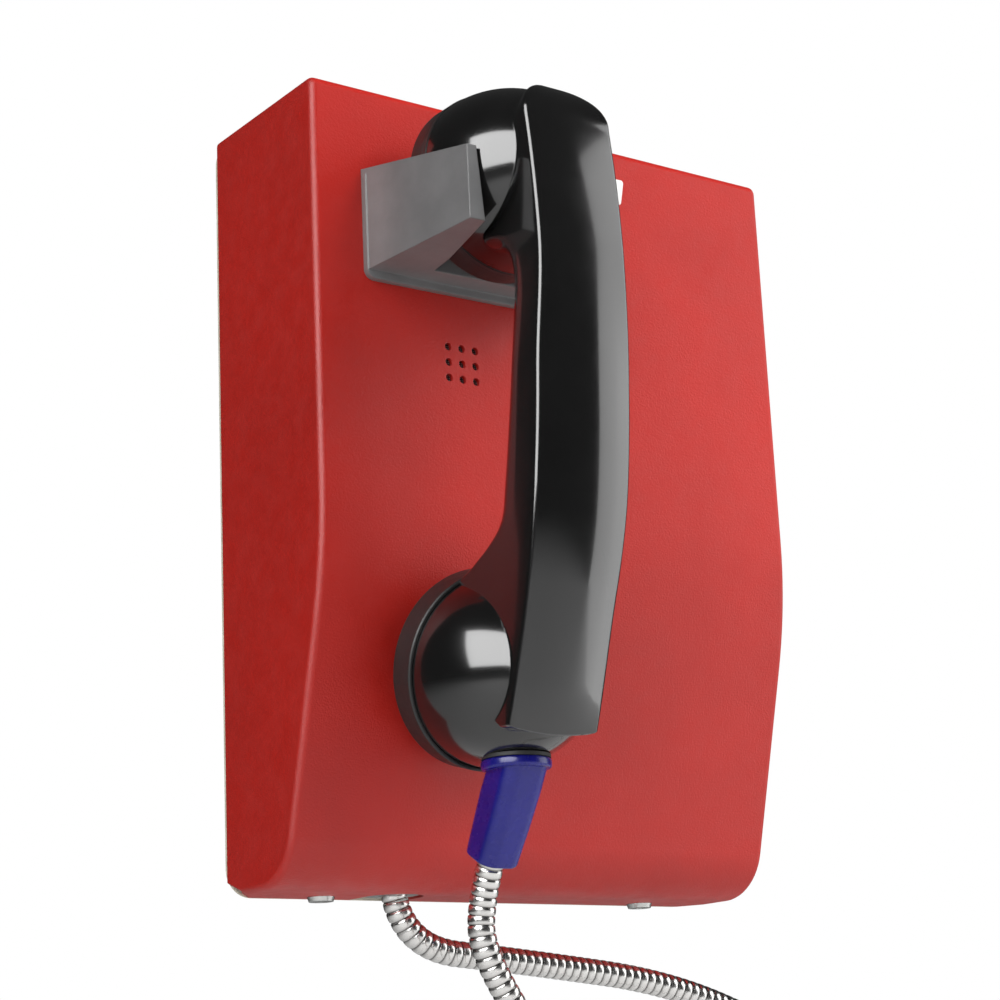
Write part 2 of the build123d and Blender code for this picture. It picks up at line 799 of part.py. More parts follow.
with BuildPart() as terminal_block:
    with BuildSketch(facing(part_y)):
        with Locations((board_shift, -33.0)):
            Rectangle(41.0, 9.0)
    extrude(amount=11.0)
    with BuildSketch(facing(part_y - 11.0)):
        with Locations((board_shift, -33.0)):
            with GridLocations(5.08, 1, 8, 1):
                Circle(1.8)
    extrude(amount=-4.0, mode=Mode.SUBTRACT)
    with BuildSketch(Plane.XY.offset(-33.0 - 4.5)):
        with Locations((board_shift, part_y - 4.0)):
            with GridLocations(5.08, 1, 8, 1):
                Rectangle(3.4, 3.6)
    extrude(amount=5.0, mode=Mode.SUBTRACT)
save(terminal_block.part, "terminal_block")

with BuildPart() as terminal_screws:
    with BuildSketch(facing(part_y - 8.0)):
        with Locations((board_shift, -33.0)):
            with GridLocations(5.08, 1, 8, 1):
                Circle(1.7)
                Rectangle(2.8, 0.5, mode=Mode.SUBTRACT)
    extrude(amount=-1.0)
    with BuildSketch(facing(part_y - 7.0)):
        with Locations((board_shift, -33.0)):
            with GridLocations(5.08, 1, 8, 1):
                Circle(1.7)
    extrude(amount=1.0)
save(terminal_screws.part, "terminal_screws")

# ---------------------------------------------------------------- earth point
earth_place = (earth_stud_x, -earth_stud_drop)
with BuildPart() as earth_stud:
    with BuildSketch(facing(-plate_thickness)):
        with Locations(earth_place):
            Circle(2.0)
    extrude(amount=12.0)
save(earth_stud.part, "earth_stud")

with BuildPart() as earth_nut:
    with BuildSketch(facing(-plate_thickness)):
        with Locations(earth_place):
            Circle(4.5)
            Circle(2.0, mode=Mode.SUBTRACT)
    extrude(amount=0.8)
    with BuildSketch(facing(-plate_thickness - 0.8)):
        with Locations(earth_place):
            RegularPolygon(3.5, 6, major_radius=False)
            Circle(2.0, mode=Mode.SUBTRACT)
    extrude(amount=3.2)
save(earth_nut.part, "earth_nut")

# ---------------------------------------------------------------- cord bush
cord_bottom = Plane.XY.offset(flange_floor_z)
with BuildPart() as cord_bush:
    with BuildSketch(Plane.XY.offset(flange_floor_z - bush_collar_thickness)):
        with Locations((line_x, -cord_from_wall)):
            Circle(bush_collar_radius)
    extrude(amount=bush_collar_thickness)
    with BuildSketch(cord_bottom):
        with Locations((line_x, -cord_from_wall)):
            Circle(bush_thread_radius)
    extrude(amount=bush_length)
    # socket for the cord, with a shoulder that its end meets
    with BuildSketch(Plane.XY.offset(flange_floor_z - bush_collar_thickness)):
        with Locations((line_x, -cord_from_wall)):
            Circle(cord_radius + cap_gap / 2)
    extrude(amount=cord_socket_depth, mode=Mode.SUBTRACT)
    with BuildSketch(cord_bottom):
        with Locations((line_x, -cord_from_wall)):
            Circle(cord_radius - 1.4)
    extrude(amount=bush_length, mode=Mode.SUBTRACT)
save(cord_bush.part, "cord_bush")

with BuildPart() as bush_nut:
    with BuildSketch(Plane.XY.offset(flange_top_z)):
        with Locations((line_x, -cord_from_wall)):
            RegularPolygon(bush_nut_flats / 2, 6, major_radius=False)
            Circle(bush_thread_radius, mode=Mode.SUBTRACT)
    extrude(amount=bush_nut_thickness)
save(bush_nut.part, "bush_nut")

# ---------------------------------------------------------------- handset
bow_centre = (front_y - grip_crown_reach + grip_bow_radius, base_z + grip_crown_height)
bow_end_angle = degrees(asin((grip_crown_height - grip_turn_height) / grip_bow_radius))
bow_start_angle = degrees(asin((grip_top_height - grip_crown_height) / grip_bow_radius))
grip_foot_z = base_z + grip_foot_height
grip_heel_z = base_z + grip_foot_height + 4.0
inner_low = (front_y - grip_inner_lower_reach, mouth_rim.Z + grip_inner_rise)
inner_high = (front_y - grip_inner_reach, ear_z - head_radius - 4.0)
crown_back = (ear_seam_y - 18.0, ear_z + head_radius_at(18.0) - 1.0)

with BuildPart() as handset_body:
    for head in (ear_plane, mouth_plane):
        with BuildSketch(head):
            Ellipse(head_depth, head_radius)
            Rectangle(
                head_depth, head_radius, align=(Align.MIN, Align.MIN), mode=Mode.INTERSECT
            )
        revolve(axis=Axis(head.origin, head.x_dir))
    # grip: a long bow that turns towards the mouth, then runs straight to the foot
    with BuildSketch(Plane.YZ.offset(line_x)):
        with BuildLine():
            bow = CenterArc(
                bow_centre,
                grip_bow_radius,
                180 - bow_start_angle,
                bow_start_angle + bow_end_angle,
            )
            turn = JernArc(
                start=bow @ 1,
                tangent=bow % 1,
                radius=grip_turn_radius,
                arc_size=grip_lower_lean - bow_end_angle,
            )
            foot_run = ((turn @ 1).Y - grip_foot_z) * tan(radians(grip_lower_lean))
            foot_y = (turn @ 1).X + foot_run
            Polyline(
                turn @ 1,
                (foot_y, grip_foot_z),
                (foot_y + 14.0, grip_heel_z),
                (inner_low[0] + 6.0, mouth_rim.Z),
                inner_low,
                inner_high,
                (ear_seam_y - 12.0, ear_z - head_radius + 12.0),
                crown_back,
                ((bow @ 0).X + 6.5, ear_z + 18.5),
                bow @ 0,
            )
        make_face()
    extrude(amount=grip_width / 2, both=True)
    crease = handset_body.edges().filter_by(
        lambda edge: abs(abs(edge.center().X - line_x) - grip_width / 2) < 0.01
        and edge.center().Y < front_y - grip_inner_reach - 10.0
        and edge.length > 30.0
    )
    fillet(crease, grip_crease_radius)
    # hollows behind the caps, joined along the grip by the lead channel
    for head in (ear_plane, mouth_plane):
        with BuildSketch(head):
            Ellipse(head_depth - head_wall, head_radius - head_wall)
            Rectangle(
                head_depth, head_radius, align=(Align.MIN, Align.MIN), mode=Mode.INTERSECT
            )
            Rectangle(
                cap_spigot + 0.5,
                head_radius - head_wall,
                align=(Align.MIN, Align.MIN),
            )
        revolve(axis=Axis(head.origin, head.x_dir), mode=Mode.SUBTRACT)
    channel_top = Vector(line_x, front_y - grip_inner_reach - 11.0, ear_z - 16.0)
    channel_foot = Vector(line_x, front_y - grip_inner_lower_reach - 13.0, mouth_rim.Z + 16.0)
    with BuildSketch(Plane(origin=channel_top, z_dir=channel_foot - channel_top)):
        Circle(grip_channel_radius)
    extrude(amount=(channel_foot - channel_top).length, mode=Mode.SUBTRACT)
    # flat seat and neck for the boot, bored for its stem
    with BuildSketch(Plane.XY.offset(boot_seat_z)):
        with Locations((line_x, boot_y)):
            Circle(boot_flange_radius + fit_gap)
    extrude(amount=-boot_neck_height, mode=Mode.SUBTRACT)
    with BuildSketch(Plane.XY.offset(boot_seat_z)):
        with Locations((line_x, boot_y)):
            Circle(boot_neck_radius)
    extrude(amount=boot_neck_height)
    with BuildSketch(Plane.XY.offset(boot_seat_z)):
        with Locations((line_x, boot_y)):
            Circle(boot_stem_radius)
    extrude(amount=boot_neck_height, mode=Mode.SUBTRACT)
save(handset_body.part, "handset_body")


# ---------------------------------------------------------------- caps and capsules
def cap_outline(radius):
    """Half section of a cap on its head plane: +X outward from the seam, Y is the radius."""
    bore = head_radius - head_wall - cap_gap - cap_wall
    face = -cap_band + cap_inner_depth
    with BuildSketch() as outline:
        with BuildLine():
            Polyline(
                (-cap_band - cap_crown, 0),
                (face, 0),
                (face, bore),
                (cap_spigot, bore),
                (cap_spigot, head_radius - head_wall - cap_gap),
                (0, head_radius - head_wall - cap_gap),
                (0, radius),
                (-cap_band, radius),
            )
            ThreePointArc(
                (-cap_band, radius),
                (-cap_band - 0.77 * cap_crown, radius / 2),
                (-cap_band - cap_crown, 0),
            )
        make_face()
        fillet(
            outline.vertices().filter_by(
                lambda corner: abs(corner.Y - radius) < 0.01
                and abs(corner.X + cap_band) < 0.01
            ),
            cap_edge_radius,
        )
    return outline.sketch_local


ear_cap_outline = cap_outline(ear_cap_radius)
mouth_cap_outline = cap_outline(mouth_cap_radius)
ear_back = Plane(origin=ear_plane.origin, x_dir=(1, 0, 0), z_dir=ear_plane.x_dir)
mouth_back = Plane(origin=mouth_plane.origin, x_dir=(1, 0, 0), z_dir=mouth_plane.x_dir)
cap_hole_length = cap_band + cap_crown

with BuildPart() as ear_cap:
    with BuildSketch(ear_plane):
        add(ear_cap_outline)
    revolve(axis=Axis(ear_plane.origin, ear_plane.x_dir))
    with BuildSketch(ear_back):
        with PolarLocations(sound_hole_ring, 6):
            Circle(sound_hole_radius)
        Circle(sound_hole_radius)
    extrude(amount=-cap_hole_length, mode=Mode.SUBTRACT)
save(ear_cap.part, "ear_cap")

with BuildPart() as mouth_cap:
    with BuildSketch(mouth_plane):
        add(mouth_cap_outline)
    revolve(axis=Axis(mouth_plane.origin, mouth_plane.x_dir))
    with BuildSketch(mouth_back):
        with PolarLocations(sound_hole_ring, 6):
            Circle(sound_hole_radius)
        Circle(sound_hole_radius)
    extrude(amount=-cap_hole_length, mode=Mode.SUBTRACT)
save(mouth_cap.part, "mouth_cap")

cap_face = -cap_band + cap_inner_depth

with BuildPart() as receiver_gasket:
    with BuildSketch(ear_back.offset(cap_face)):
        Circle(receiver_radius)
        Circle(receiver_radius - gasket_width, mode=Mode.SUBTRACT)
    extrude(amount=gasket_thickness)
save(receiver_gasket.part, "receiver_gasket")

with BuildPart() as receiver_capsule:
    with BuildSketch(ear_back.offset(cap_face + gasket_thickness)):
        Circle(receiver_radius)
    extrude(amount=receiver_thickness - 3.0)
    with BuildSketch(ear_back.offset(cap_face + gasket_thickness + receiver_thickness - 3)):
        Circle(receiver_radius - 5.0)
    extrude(amount=3.0)
    with BuildSketch(ear_back.offset(cap_face + gasket_thickness)):
        with PolarLocations(8.0, 6):
            Circle(1.2)
    extrude(amount=1.5, mode=Mode.SUBTRACT)
save(receiver_capsule.part, "receiver_capsule")

with BuildPart() as microphone_gasket:
    with BuildSketch(mouth_back.offset(cap_face)):
        Circle(microphone_radius)
        Circle(microphone_radius - gasket_width, mode=Mode.SUBTRACT)
    extrude(amount=gasket_thickness)
save(microphone_gasket.part, "microphone_gasket")

with BuildPart() as microphone_capsule:
    with BuildSketch(mouth_back.offset(cap_face + gasket_thickness)):
        Circle(microphone_radius)
    extrude(amount=microphone_thickness)
    with BuildSketch(mouth_back.offset(cap_face + gasket_thickness)):
        with PolarLocations(4.0, 5):
            Circle(0.9)
    extrude(amount=1.2, mode=Mode.SUBTRACT)
save(microphone_capsule.part, "microphone_capsule")

# ---------------------------------------------------------------- boot
boot_flange_z = boot_seat_z - boot_washer_thickness
boot_root = Vector(line_x, boot_y, boot_flange_z - boot_flange_thickness)
boot_axis = (boot_tip - boot_root).normalized()
boot_tip_plane = Plane(origin=boot_tip, x_dir=(1, 0, 0), z_dir=boot_axis)

with BuildPart() as boot_washer:
    with BuildSketch(Plane.XY.offset(boot_flange_z)):
        with Locations((line_x, boot_y)):
            Circle(boot_flange_radius - 0.2)
            Circle(boot_stem_radius, mode=Mode.SUBTRACT)
    extrude(amount=boot_washer_thickness)
save(boot_washer.part, "boot_washer")

with BuildPart() as cord_boot:
    with BuildSketch(Plane.XY.offset(boot_root.Z)):
        with Locations((line_x, boot_y)):
            Circle(boot_flange_radius)
    extrude(amount=boot_flange_thickness)
    fillet(cord_boot.edges(), 1.0)
    with BuildSketch(Plane(origin=boot_root, x_dir=(1, 0, 0), z_dir=(0, 0, -1))):
        RectangleRounded(boot_root_width, boot_root_width, 5.0)
    with BuildSketch(boot_tip_plane):
        RectangleRounded(boot_tip_width, boot_tip_width, 5.0)
    loft()
    fillet(cord_boot.edges().group_by(Axis.Z)[0], 1.0)
    with BuildSketch(Plane.XY.offset(boot_flange_z)):
        with Locations((line_x, boot_y)):
            Circle(boot_stem_radius)
    extrude(amount=boot_stem_length)
    # socket for the cord, with a shoulder that its end meets, then the lead's way up
    with BuildSketch(boot_tip_plane):
        Circle(cord_radius + cap_gap / 2)
    extrude(amount=-cord_socket_depth, mode=Mode.SUBTRACT)
    with BuildSketch(boot_tip_plane):
        Circle(cord_radius - 2.0)
    extrude(amount=-(boot_tip - boot_root).length, mode=Mode.SUBTRACT)
    with BuildSketch(Plane.XY.offset(boot_root.Z - 3.0)):
        with Locations((line_x, boot_y)):
            Circle(cord_radius - 1.4)
    extrude(
        amount=boot_flange_thickness + boot_stem_length + 3.0, mode=Mode.SUBTRACT
    )
save(cord_boot.part, "cord_boot")

with BuildPart() as cord_clamp:
    with BuildSketch(Plane.XY.offset(boot_seat_z + boot_neck_height)):
        with Locations((line_x, boot_y)):
            RectangleRounded(18.0, 14.0, 3.0)
            Circle(boot_stem_radius, mode=Mode.SUBTRACT)
    extrude(amount=4.0)
    with BuildSketch(facing(boot_y - 7.0)):
        with Locations((line_x, boot_seat_z + boot_neck_height + 2.0)):
            with GridLocations(14.0, 1, 2, 1):
                Circle(1.2)
    extrude(amount=-14.0, mode=Mode.SUBTRACT)
save(cord_clamp.part, "cord_clamp")

with BuildPart() as clamp_screws:
    with BuildSketch(facing(boot_y - 7.0)):
        with Locations((line_x, boot_seat_z + boot_neck_height + 2.0)):
            with GridLocations(14.0, 1, 2, 1):
                Circle(1.2)
    extrude(amount=-14.0)
    with BuildSketch(facing(boot_y - 7.0)):
        with Locations((line_x, boot_seat_z + boot_neck_height + 2.0)):
            with GridLocations(14.0, 1, 2, 1):
                Circle(1.9)
    extrude(amount=1.2)
save(clamp_screws.part, "clamp_screws")

# ---------------------------------------------------------------- armoured cord
cord_start = Vector(
    line_x,
    -cord_from_wall,
    flange_floor_z - bush_collar_thickness + cord_socket_depth,
)
cord_end = boot_tip - boot_axis * cord_socket_depth
boot_corner = boot_tip + boot_axis * cord_boot_lead
cord_loop = [
    Vector(line_x, -cord_from_wall, base_z - 16.3),
    Vector(line_x + 49.5, -15.5, base_z - 21.2),
    Vector(line_x + 116.0, -20.0, base_z - 29.5),
    Vector(line_x + 166.0, -26.0, base_z - 52.0),
    Vector(line_x + 186.0, -34.0, base_z - 112.0),
    Vector(line_x + 158.0, -42.0, base_z - 172.0),
    Vector(line_x + 96.0, -50.0, base_z - 182.0),
    Vector(line_x + 50.0, -57.0, base_z - 126.0),
    Vector(line_x + 27.0, -60.0, base_z - 58.0),
    Vector(line_x, boot_corner.Y + 1.0, base_z - 23.0),
]
cord_points = [cord_start, *cord_loop, boot_corner, cord_end]

cord_radii = []
for before, corner, after in zip(cord_points, cord_points[1:], cord_points[2:]):
    arriving = corner - before
    leaving = after - corner
    half_turn = radians(arriving.get_angle(leaving)) / 2
    share = cord_exit_share if before is cord_start else cord_bend_share
    cord_radii.append(share * min(arriving.length, leaving.length) / tan(half_turn))

with BuildPart() as armoured_cord:
    with BuildLine() as cord_line:
        FilletPolyline(*cord_points, radius=cord_radii)
    with BuildSketch(Plane(origin=cord_line.line @ 0, z_dir=cord_line.line % 0)):
        Circle(cord_radius)
    sweep(path=cord_line.line)
save(armoured_cord.part, "armoured_cord")
print("cord corner radii", [round(radius, 1) for radius in cord_radii])
print("cord length", round(cord_line.wires()[0].length, 1))
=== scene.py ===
"""Wall phone: visible pieces, finishes and studio, over the packed CAD frame."""

import json
from math import cos, degrees, pi, radians, sin, sqrt, tan

import bmesh
import bpy
from bpy.props import FloatProperty, IntProperty, PointerProperty
from mathutils import Matrix, Vector


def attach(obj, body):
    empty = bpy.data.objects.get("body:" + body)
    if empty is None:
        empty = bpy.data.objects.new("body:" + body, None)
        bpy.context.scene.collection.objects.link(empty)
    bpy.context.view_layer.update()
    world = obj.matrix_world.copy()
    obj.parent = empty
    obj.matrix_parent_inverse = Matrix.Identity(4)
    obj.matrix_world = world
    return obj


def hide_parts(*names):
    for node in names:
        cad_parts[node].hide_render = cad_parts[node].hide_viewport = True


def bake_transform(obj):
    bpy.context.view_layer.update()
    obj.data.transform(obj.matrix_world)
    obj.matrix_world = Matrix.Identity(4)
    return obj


bl_info = {
    "name": "Wall phone",
    "version": (1, 0, 0),
    "blender": (4, 5, 0),
    "location": "View3D > Sidebar > Phone",
    "description": "Builds the visible pieces of a wall phone over its CAD frame",
    "category": "Object",
}

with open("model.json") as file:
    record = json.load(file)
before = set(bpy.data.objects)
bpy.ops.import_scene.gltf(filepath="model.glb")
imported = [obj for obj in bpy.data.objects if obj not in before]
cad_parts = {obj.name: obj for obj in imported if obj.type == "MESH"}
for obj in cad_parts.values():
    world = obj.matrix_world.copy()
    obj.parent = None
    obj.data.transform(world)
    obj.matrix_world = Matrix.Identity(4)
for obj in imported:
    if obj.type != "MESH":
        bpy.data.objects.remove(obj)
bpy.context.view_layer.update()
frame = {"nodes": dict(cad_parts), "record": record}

# ---------------------------------------------------------------- shared places
# Metres in the frame's axes: X to the right, Y into the wall, Z up. The handset hangs
# on the line X = LINE_X, and heights are measured above BASE.
LINE_X = -0.0415
BASE = -0.132
TOP = 0.132
FRONT = -0.065
REAR = -0.001
UP = Vector((0, 0, 1))
EAR_SEAM = Vector((LINE_X, -0.0913, BASE + 0.2255))
EAR_OUT = Vector((0, -1, 0))
MOUTH_TILT = radians(15.5)
MOUTH_OUT = Vector((0, -cos(MOUTH_TILT), -sin(MOUTH_TILT)))
MOUTH_SEAM = Vector((LINE_X, -0.0659, BASE + 0.0679)) + 0.008 * MOUTH_OUT
BOOT_SEAT = Vector((LINE_X, -0.085, BASE + 0.0364))
BOOT_TIP = BOOT_SEAT + Vector((0, 0.0157, -0.0306))


# ---------------------------------------------------------------- small helpers
def socket(node, name, value):
    node.inputs[name].default_value = value


def material(name):
    """A new node material, its tree and its principled shader.

    The frame brings flat materials named after the slots, so these have a prefix.
    """
    mat = bpy.data.materials.new("finish_" + name)
    mat.use_nodes = True
    tree = mat.node_tree
    return mat, tree, tree.nodes["Principled BSDF"]


def noise(tree, scale, detail=2.0, rough=0.5):
    """Noise on object coordinates; scale is in features per metre."""
    coords = tree.nodes.new("ShaderNodeTexCoord")
    tex = tree.nodes.new("ShaderNodeTexNoise")
    socket(tex, "Scale", scale)
    socket(tex, "Detail", detail)
    socket(tex, "Roughness", rough)
    tree.links.new(coords.outputs["Object"], tex.inputs["Vector"])
    return tex.outputs["Fac"]


def mapped(tree, value, low, high):
    """value spread over the range low to high."""
    node = tree.nodes.new("ShaderNodeMapRange")
    socket(node, "From Min", 0.3)
    socket(node, "From Max", 0.7)
    socket(node, "To Min", low)
    socket(node, "To Max", high)
    tree.links.new(value, node.inputs["Value"])
    return node.outputs["Result"]


def tinted(tree, value, dark, light):
    """Colour that runs from dark to light with value."""
    node = tree.nodes.new("ShaderNodeMix")
    node.data_type = "RGBA"
    node.inputs["A"].default_value = (*dark, 1)
    node.inputs["B"].default_value = (*light, 1)
    tree.links.new(mapped(tree, value, 0, 1), node.inputs["Factor"])
    return node.outputs["Result"]


def bumped(tree, shader, value, strength, depth, edge=0.0):
    """Bump on the shader's normal, over edges softened to the given radius."""
    node = tree.nodes.new("ShaderNodeBump")
    socket(node, "Strength", strength)
    socket(node, "Distance", depth)
    tree.links.new(value, node.inputs["Height"])
    if edge:
        bevel = tree.nodes.new("ShaderNodeBevel")
        bevel.samples = 6
        socket(bevel, "Radius", edge)
        tree.links.new(bevel.outputs["Normal"], node.inputs["Normal"])
    tree.links.new(node.outputs["Normal"], shader.inputs["Normal"])


def finish(name, dark, light, rough, grain, bump, edge=0.0, metal=0.0, coat=0.0):
    """A finish with mottled colour, uneven roughness and a fine surface grain."""
    mat, tree, shader = material(name)
    cloud = noise(tree, 45.0, 4.0, 0.6)
    fine = noise(tree, grain, 2.0)
    tree.links.new(tinted(tree, cloud, dark, light), shader.inputs["Base Color"])
    spread = mapped(tree, noise(tree, grain / 6, 3.0), rough * 0.85, rough * 1.15)
    tree.links.new(spread, shader.inputs["Roughness"])
    socket(shader, "Metallic", metal)
    socket(shader, "Coat Weight", coat)
    socket(shader, "Coat Roughness", 0.08)
    bumped(tree, shader, fine, bump, 0.0001, edge)
    return mat


def piece(name, bm, mat, body, slot, *replaced):
    """Makes the bmesh an object that rides on a body and stands for CAD nodes.

    With no body it is a cutter, a part of another piece, or the floor.
    """
    bmesh.ops.recalc_face_normals(bm, faces=bm.faces)
    mesh = bpy.data.meshes.new(name)
    bm.to_mesh(mesh)
    bm.free()
    obj = bpy.data.objects.new(name, mesh)
    bpy.context.scene.collection.objects.link(obj)
    mesh.materials.append(mat)
    if body:
        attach(obj, body)
        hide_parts(*replaced)
    return obj


def smooth(obj, angle):
    """Smooth shading with sharp edges above an angle and face-weighted normals."""
    for face in obj.data.polygons:
        face.use_smooth = True
    obj.data.set_sharp_from_angle(angle=radians(angle))
    weighted = obj.modifiers.new("weighted", "WEIGHTED_NORMAL")
    weighted.keep_sharp = True
    weighted.weight = 80
    apply(obj)


def apply(obj):
    """Replaces the object's mesh by its evaluated one, with no modifiers left."""
    depsgraph = bpy.context.evaluated_depsgraph_get()
    depsgraph.update()
    mesh = bpy.data.meshes.new_from_object(obj.evaluated_get(depsgraph))
    obj.modifiers.clear()
    old = obj.data
    obj.data = mesh
    bpy.data.meshes.remove(old)


def boolean(obj, other, operation):
    """Applies an exact boolean and removes the other object."""
    cut = obj.modifiers.new("cut", "BOOLEAN")
    cut.operation = operation
    cut.solver = "EXACT"
    cut.object = other
    apply(obj)
    mesh = other.data
    bpy.data.objects.remove(other)
    bpy.data.meshes.remove(mesh)


def loft(bm, stations):
    """Skins closed loops of equal size, drawn once, extruded on and capped."""
    ring = [bm.verts.new(point) for point in stations[0]]
    pairs = list(zip(ring, ring[1:] + ring[:1]))
    first = edges = [bm.edges.new(pair) for pair in pairs]
    for points in stations[1:]:
        result = bmesh.ops.extrude_edge_only(bm, edges=edges)
        fresh = {g for g in result["geom"] if isinstance(g, bmesh.types.BMVert)}
        ring = [
            next(e.other_vert(v) for e in v.link_edges if e.other_vert(v) in fresh)
            for v in ring
        ]
        for vert, point in zip(ring, points):
            vert.co = point
        edges = [bm.edges.get(pair) for pair in zip(ring, ring[1:] + ring[:1])]
    bmesh.ops.contextual_create(bm, geom=first)
    bmesh.ops.contextual_create(bm, geom=edges)


def spun(bm, profile, seat, axis, steps):
    """Turns a profile of (along, radius) points a full turn about an axis at seat."""
    side = axis.orthogonal().normalized()
    verts = [
        bm.verts.new(seat + axis * along + side * radius) for along, radius in profile
    ]
    edges = [bm.edges.new(pair) for pair in zip(verts, verts[1:])]
    bmesh.ops.spin(
        bm,
        geom=verts + edges,
        cent=seat,
        axis=axis,
        angle=2 * pi,
        steps=steps,
        use_merge=True,
    )
    bmesh.ops.remove_doubles(bm, verts=bm.verts, dist=1e-7)


def arc(centre, radius, start, end, steps):
    """Points on an arc as (x, y), angles in degrees."""
    angles = [radians(start + (end - start) * i / steps) for i in range(steps + 1)]
    return [(centre[0] + radius * cos(a), centre[1] + radius * sin(a)) for a in angles]


def eased(points, steps):
    """Points on a smooth curve through the given (x, y) points."""
    ends = [points[0], *points, points[-1]]
    curve = []
    for a, b, c, d in zip(ends, ends[1:], ends[2:], ends[3:]):
        for i in range(steps):
            t = i / steps
            curve.append(
                tuple(
                    0.5
                    * (
                        2 * q
                        + (r - p) * t
                        + (2 * p - 5 * q + 4 * r - s) * t * t
                        + (3 * q - p - 3 * r + s) * t**3
                    )
                    for p, q, r, s in zip(a, b, c, d)
                )
            )
    return [*curve, points[-1]]


def pillow(profile, half, radius, steps):
    """Stations that draw a side profile of (y, z) points out across X.

    The profile is open. Both ends of the piece are rounded by the radius.
    """
    ends = [profile[0], *profile, profile[-1]]
    inward = []
    for before, after in zip(ends, ends[2:]):
        along = Vector((after[0] - before[0], after[1] - before[1])).normalized()
        inward.append(Vector((along.y, -along.x)))
    pairs = zip(profile, profile[1:] + profile[:1])
    area = sum(p[0] * q[1] - q[0] * p[1] for p, q in pairs)
    sign = -1 if area > 0 else 1

    def station(share, angle, side):
        sunk = radius * (1 - cos(angle))
        x = side * (half - radius * (1 - sin(angle))) * share
        return [
            (x, y + sign * normal.x * sunk, z + sign * normal.y * sunk)
            for (y, z), normal in zip(profile, inward)
        ]

    angles = [pi / 2 * (1 - i / steps) for i in range(steps + 1)]
    left = [station(1, a, -1) for a in angles]
    flat = [station(s / 4, 0, 1) for s in range(-3, 4)]
    right = [station(1, a, 1) for a in reversed(angles)]
    return left + flat + right


# ---------------------------------------------------------------- finishes
def powder_coat(settings):
    """Red satin powder coat: orange peel, a slow drift in the film, soft bends."""
    mat, tree, shader = material("red_powder_coat")
    red = settings.coat_colour
    drift = noise(tree, 14.0, 3.0, 0.55)
    shade = tinted(tree, drift, [c * 0.9 for c in red], [c * 1.08 for c in red])
    tree.links.new(shade, shader.inputs["Base Color"])
    rough = mapped(tree, noise(tree, 160.0, 3.0), 0.38, 0.48)
    tree.links.new(rough, shader.inputs["Roughness"])
    peel = noise(tree, 1500.0, 3.0, 0.65)
    bumped(tree, shader, peel, strength=0.8, depth=0.00022, edge=0.0004)
    return mat


def hose_steel():
    """Bright hose steel, with painted shade darkening its colour in the joints between
    rings.
    """
    mat, tree, shader = material("hose_steel")
    # painted shade: the colour runs from bright steel on the ring crowns to near black
    # at the bottom of each joint
    groove = tree.nodes.new("ShaderNodeAttribute")
    groove.attribute_name = "joint_depth"
    colour = tree.nodes.new("ShaderNodeMix")
    colour.data_type = "RGBA"
    colour.inputs["A"].default_value = (0.8, 0.79, 0.77, 1)
    colour.inputs["B"].default_value = (0.09, 0.085, 0.08, 1)
    tree.links.new(groove.outputs["Fac"], colour.inputs["Factor"])
    tree.links.new(colour.outputs["Result"], shader.inputs["Base Color"])
    rough = mapped(tree, noise(tree, 700.0, 3.0), 0.16, 0.3)
    tree.links.new(rough, shader.inputs["Roughness"])
    socket(shader, "Metallic", 1.0)
    bumped(tree, shader, noise(tree, 2500.0, 2.0), strength=0.12, depth=0.00005)
    return mat


def woven_screen():
    """Fine woven mesh: two crossed sets of wires that pass over and under."""
    mat, tree, shader = material("screen_mesh")
    coords = tree.nodes.new("ShaderNodeTexCoord")
    waves = []
    for direction in ("X", "Z"):
        wave = tree.nodes.new("ShaderNodeTexWave")
        wave.bands_direction = direction
        socket(wave, "Scale", 420.0)
        socket(wave, "Distortion", 0.3)
        tree.links.new(coords.outputs["Object"], wave.inputs["Vector"])
        waves.append(wave.outputs["Fac"])
    crossed = tree.nodes.new("ShaderNodeMath")
    crossed.operation = "MULTIPLY"
    tree.links.new(waves[0], crossed.inputs[0])
    tree.links.new(waves[1], crossed.inputs[1])
    weave = crossed.outputs["Value"]
    shade = tinted(tree, weave, (0.05,) * 3, (0.35,) * 3)
    tree.links.new(shade, shader.inputs["Base Color"])
    tree.links.new(mapped(tree, weave, 0.6, 0.35), shader.inputs["Roughness"])
    socket(shader, "Metallic", 0.8)
    bumped(tree, shader, weave, strength=0.6, depth=0.0002)
    return mat


def plated_steel():
    """Zinc plate over rolled sheet: fine drawn lines and a cloudy passivated bloom."""
    mat, tree, shader = material("zinc_plate")
    coords = tree.nodes.new("ShaderNodeTexCoord")
    stretch = tree.nodes.new("ShaderNodeMapping")
    stretch.inputs["Scale"].default_value = (1.0, 1.0, 0.03)
    tree.links.new(coords.outputs["Object"], stretch.inputs["Vector"])
    lines = tree.nodes.new("ShaderNodeTexNoise")
    socket(lines, "Scale", 1800.0)
    tree.links.new(stretch.outputs["Vector"], lines.inputs["Vector"])
    cloud = noise(tree, 60.0, 5.0, 0.65)
    shade = tinted(tree, cloud, (0.5, 0.51, 0.49), (0.66, 0.66, 0.62))
    tree.links.new(shade, shader.inputs["Base Color"])
    tree.links.new(mapped(tree, cloud, 0.32, 0.48), shader.inputs["Roughness"])
    socket(shader, "Metallic", 1.0)
    drawn = lines.outputs["Fac"]
    bumped(tree, shader, drawn, strength=0.25, depth=0.00006, edge=0.0003)
    return mat


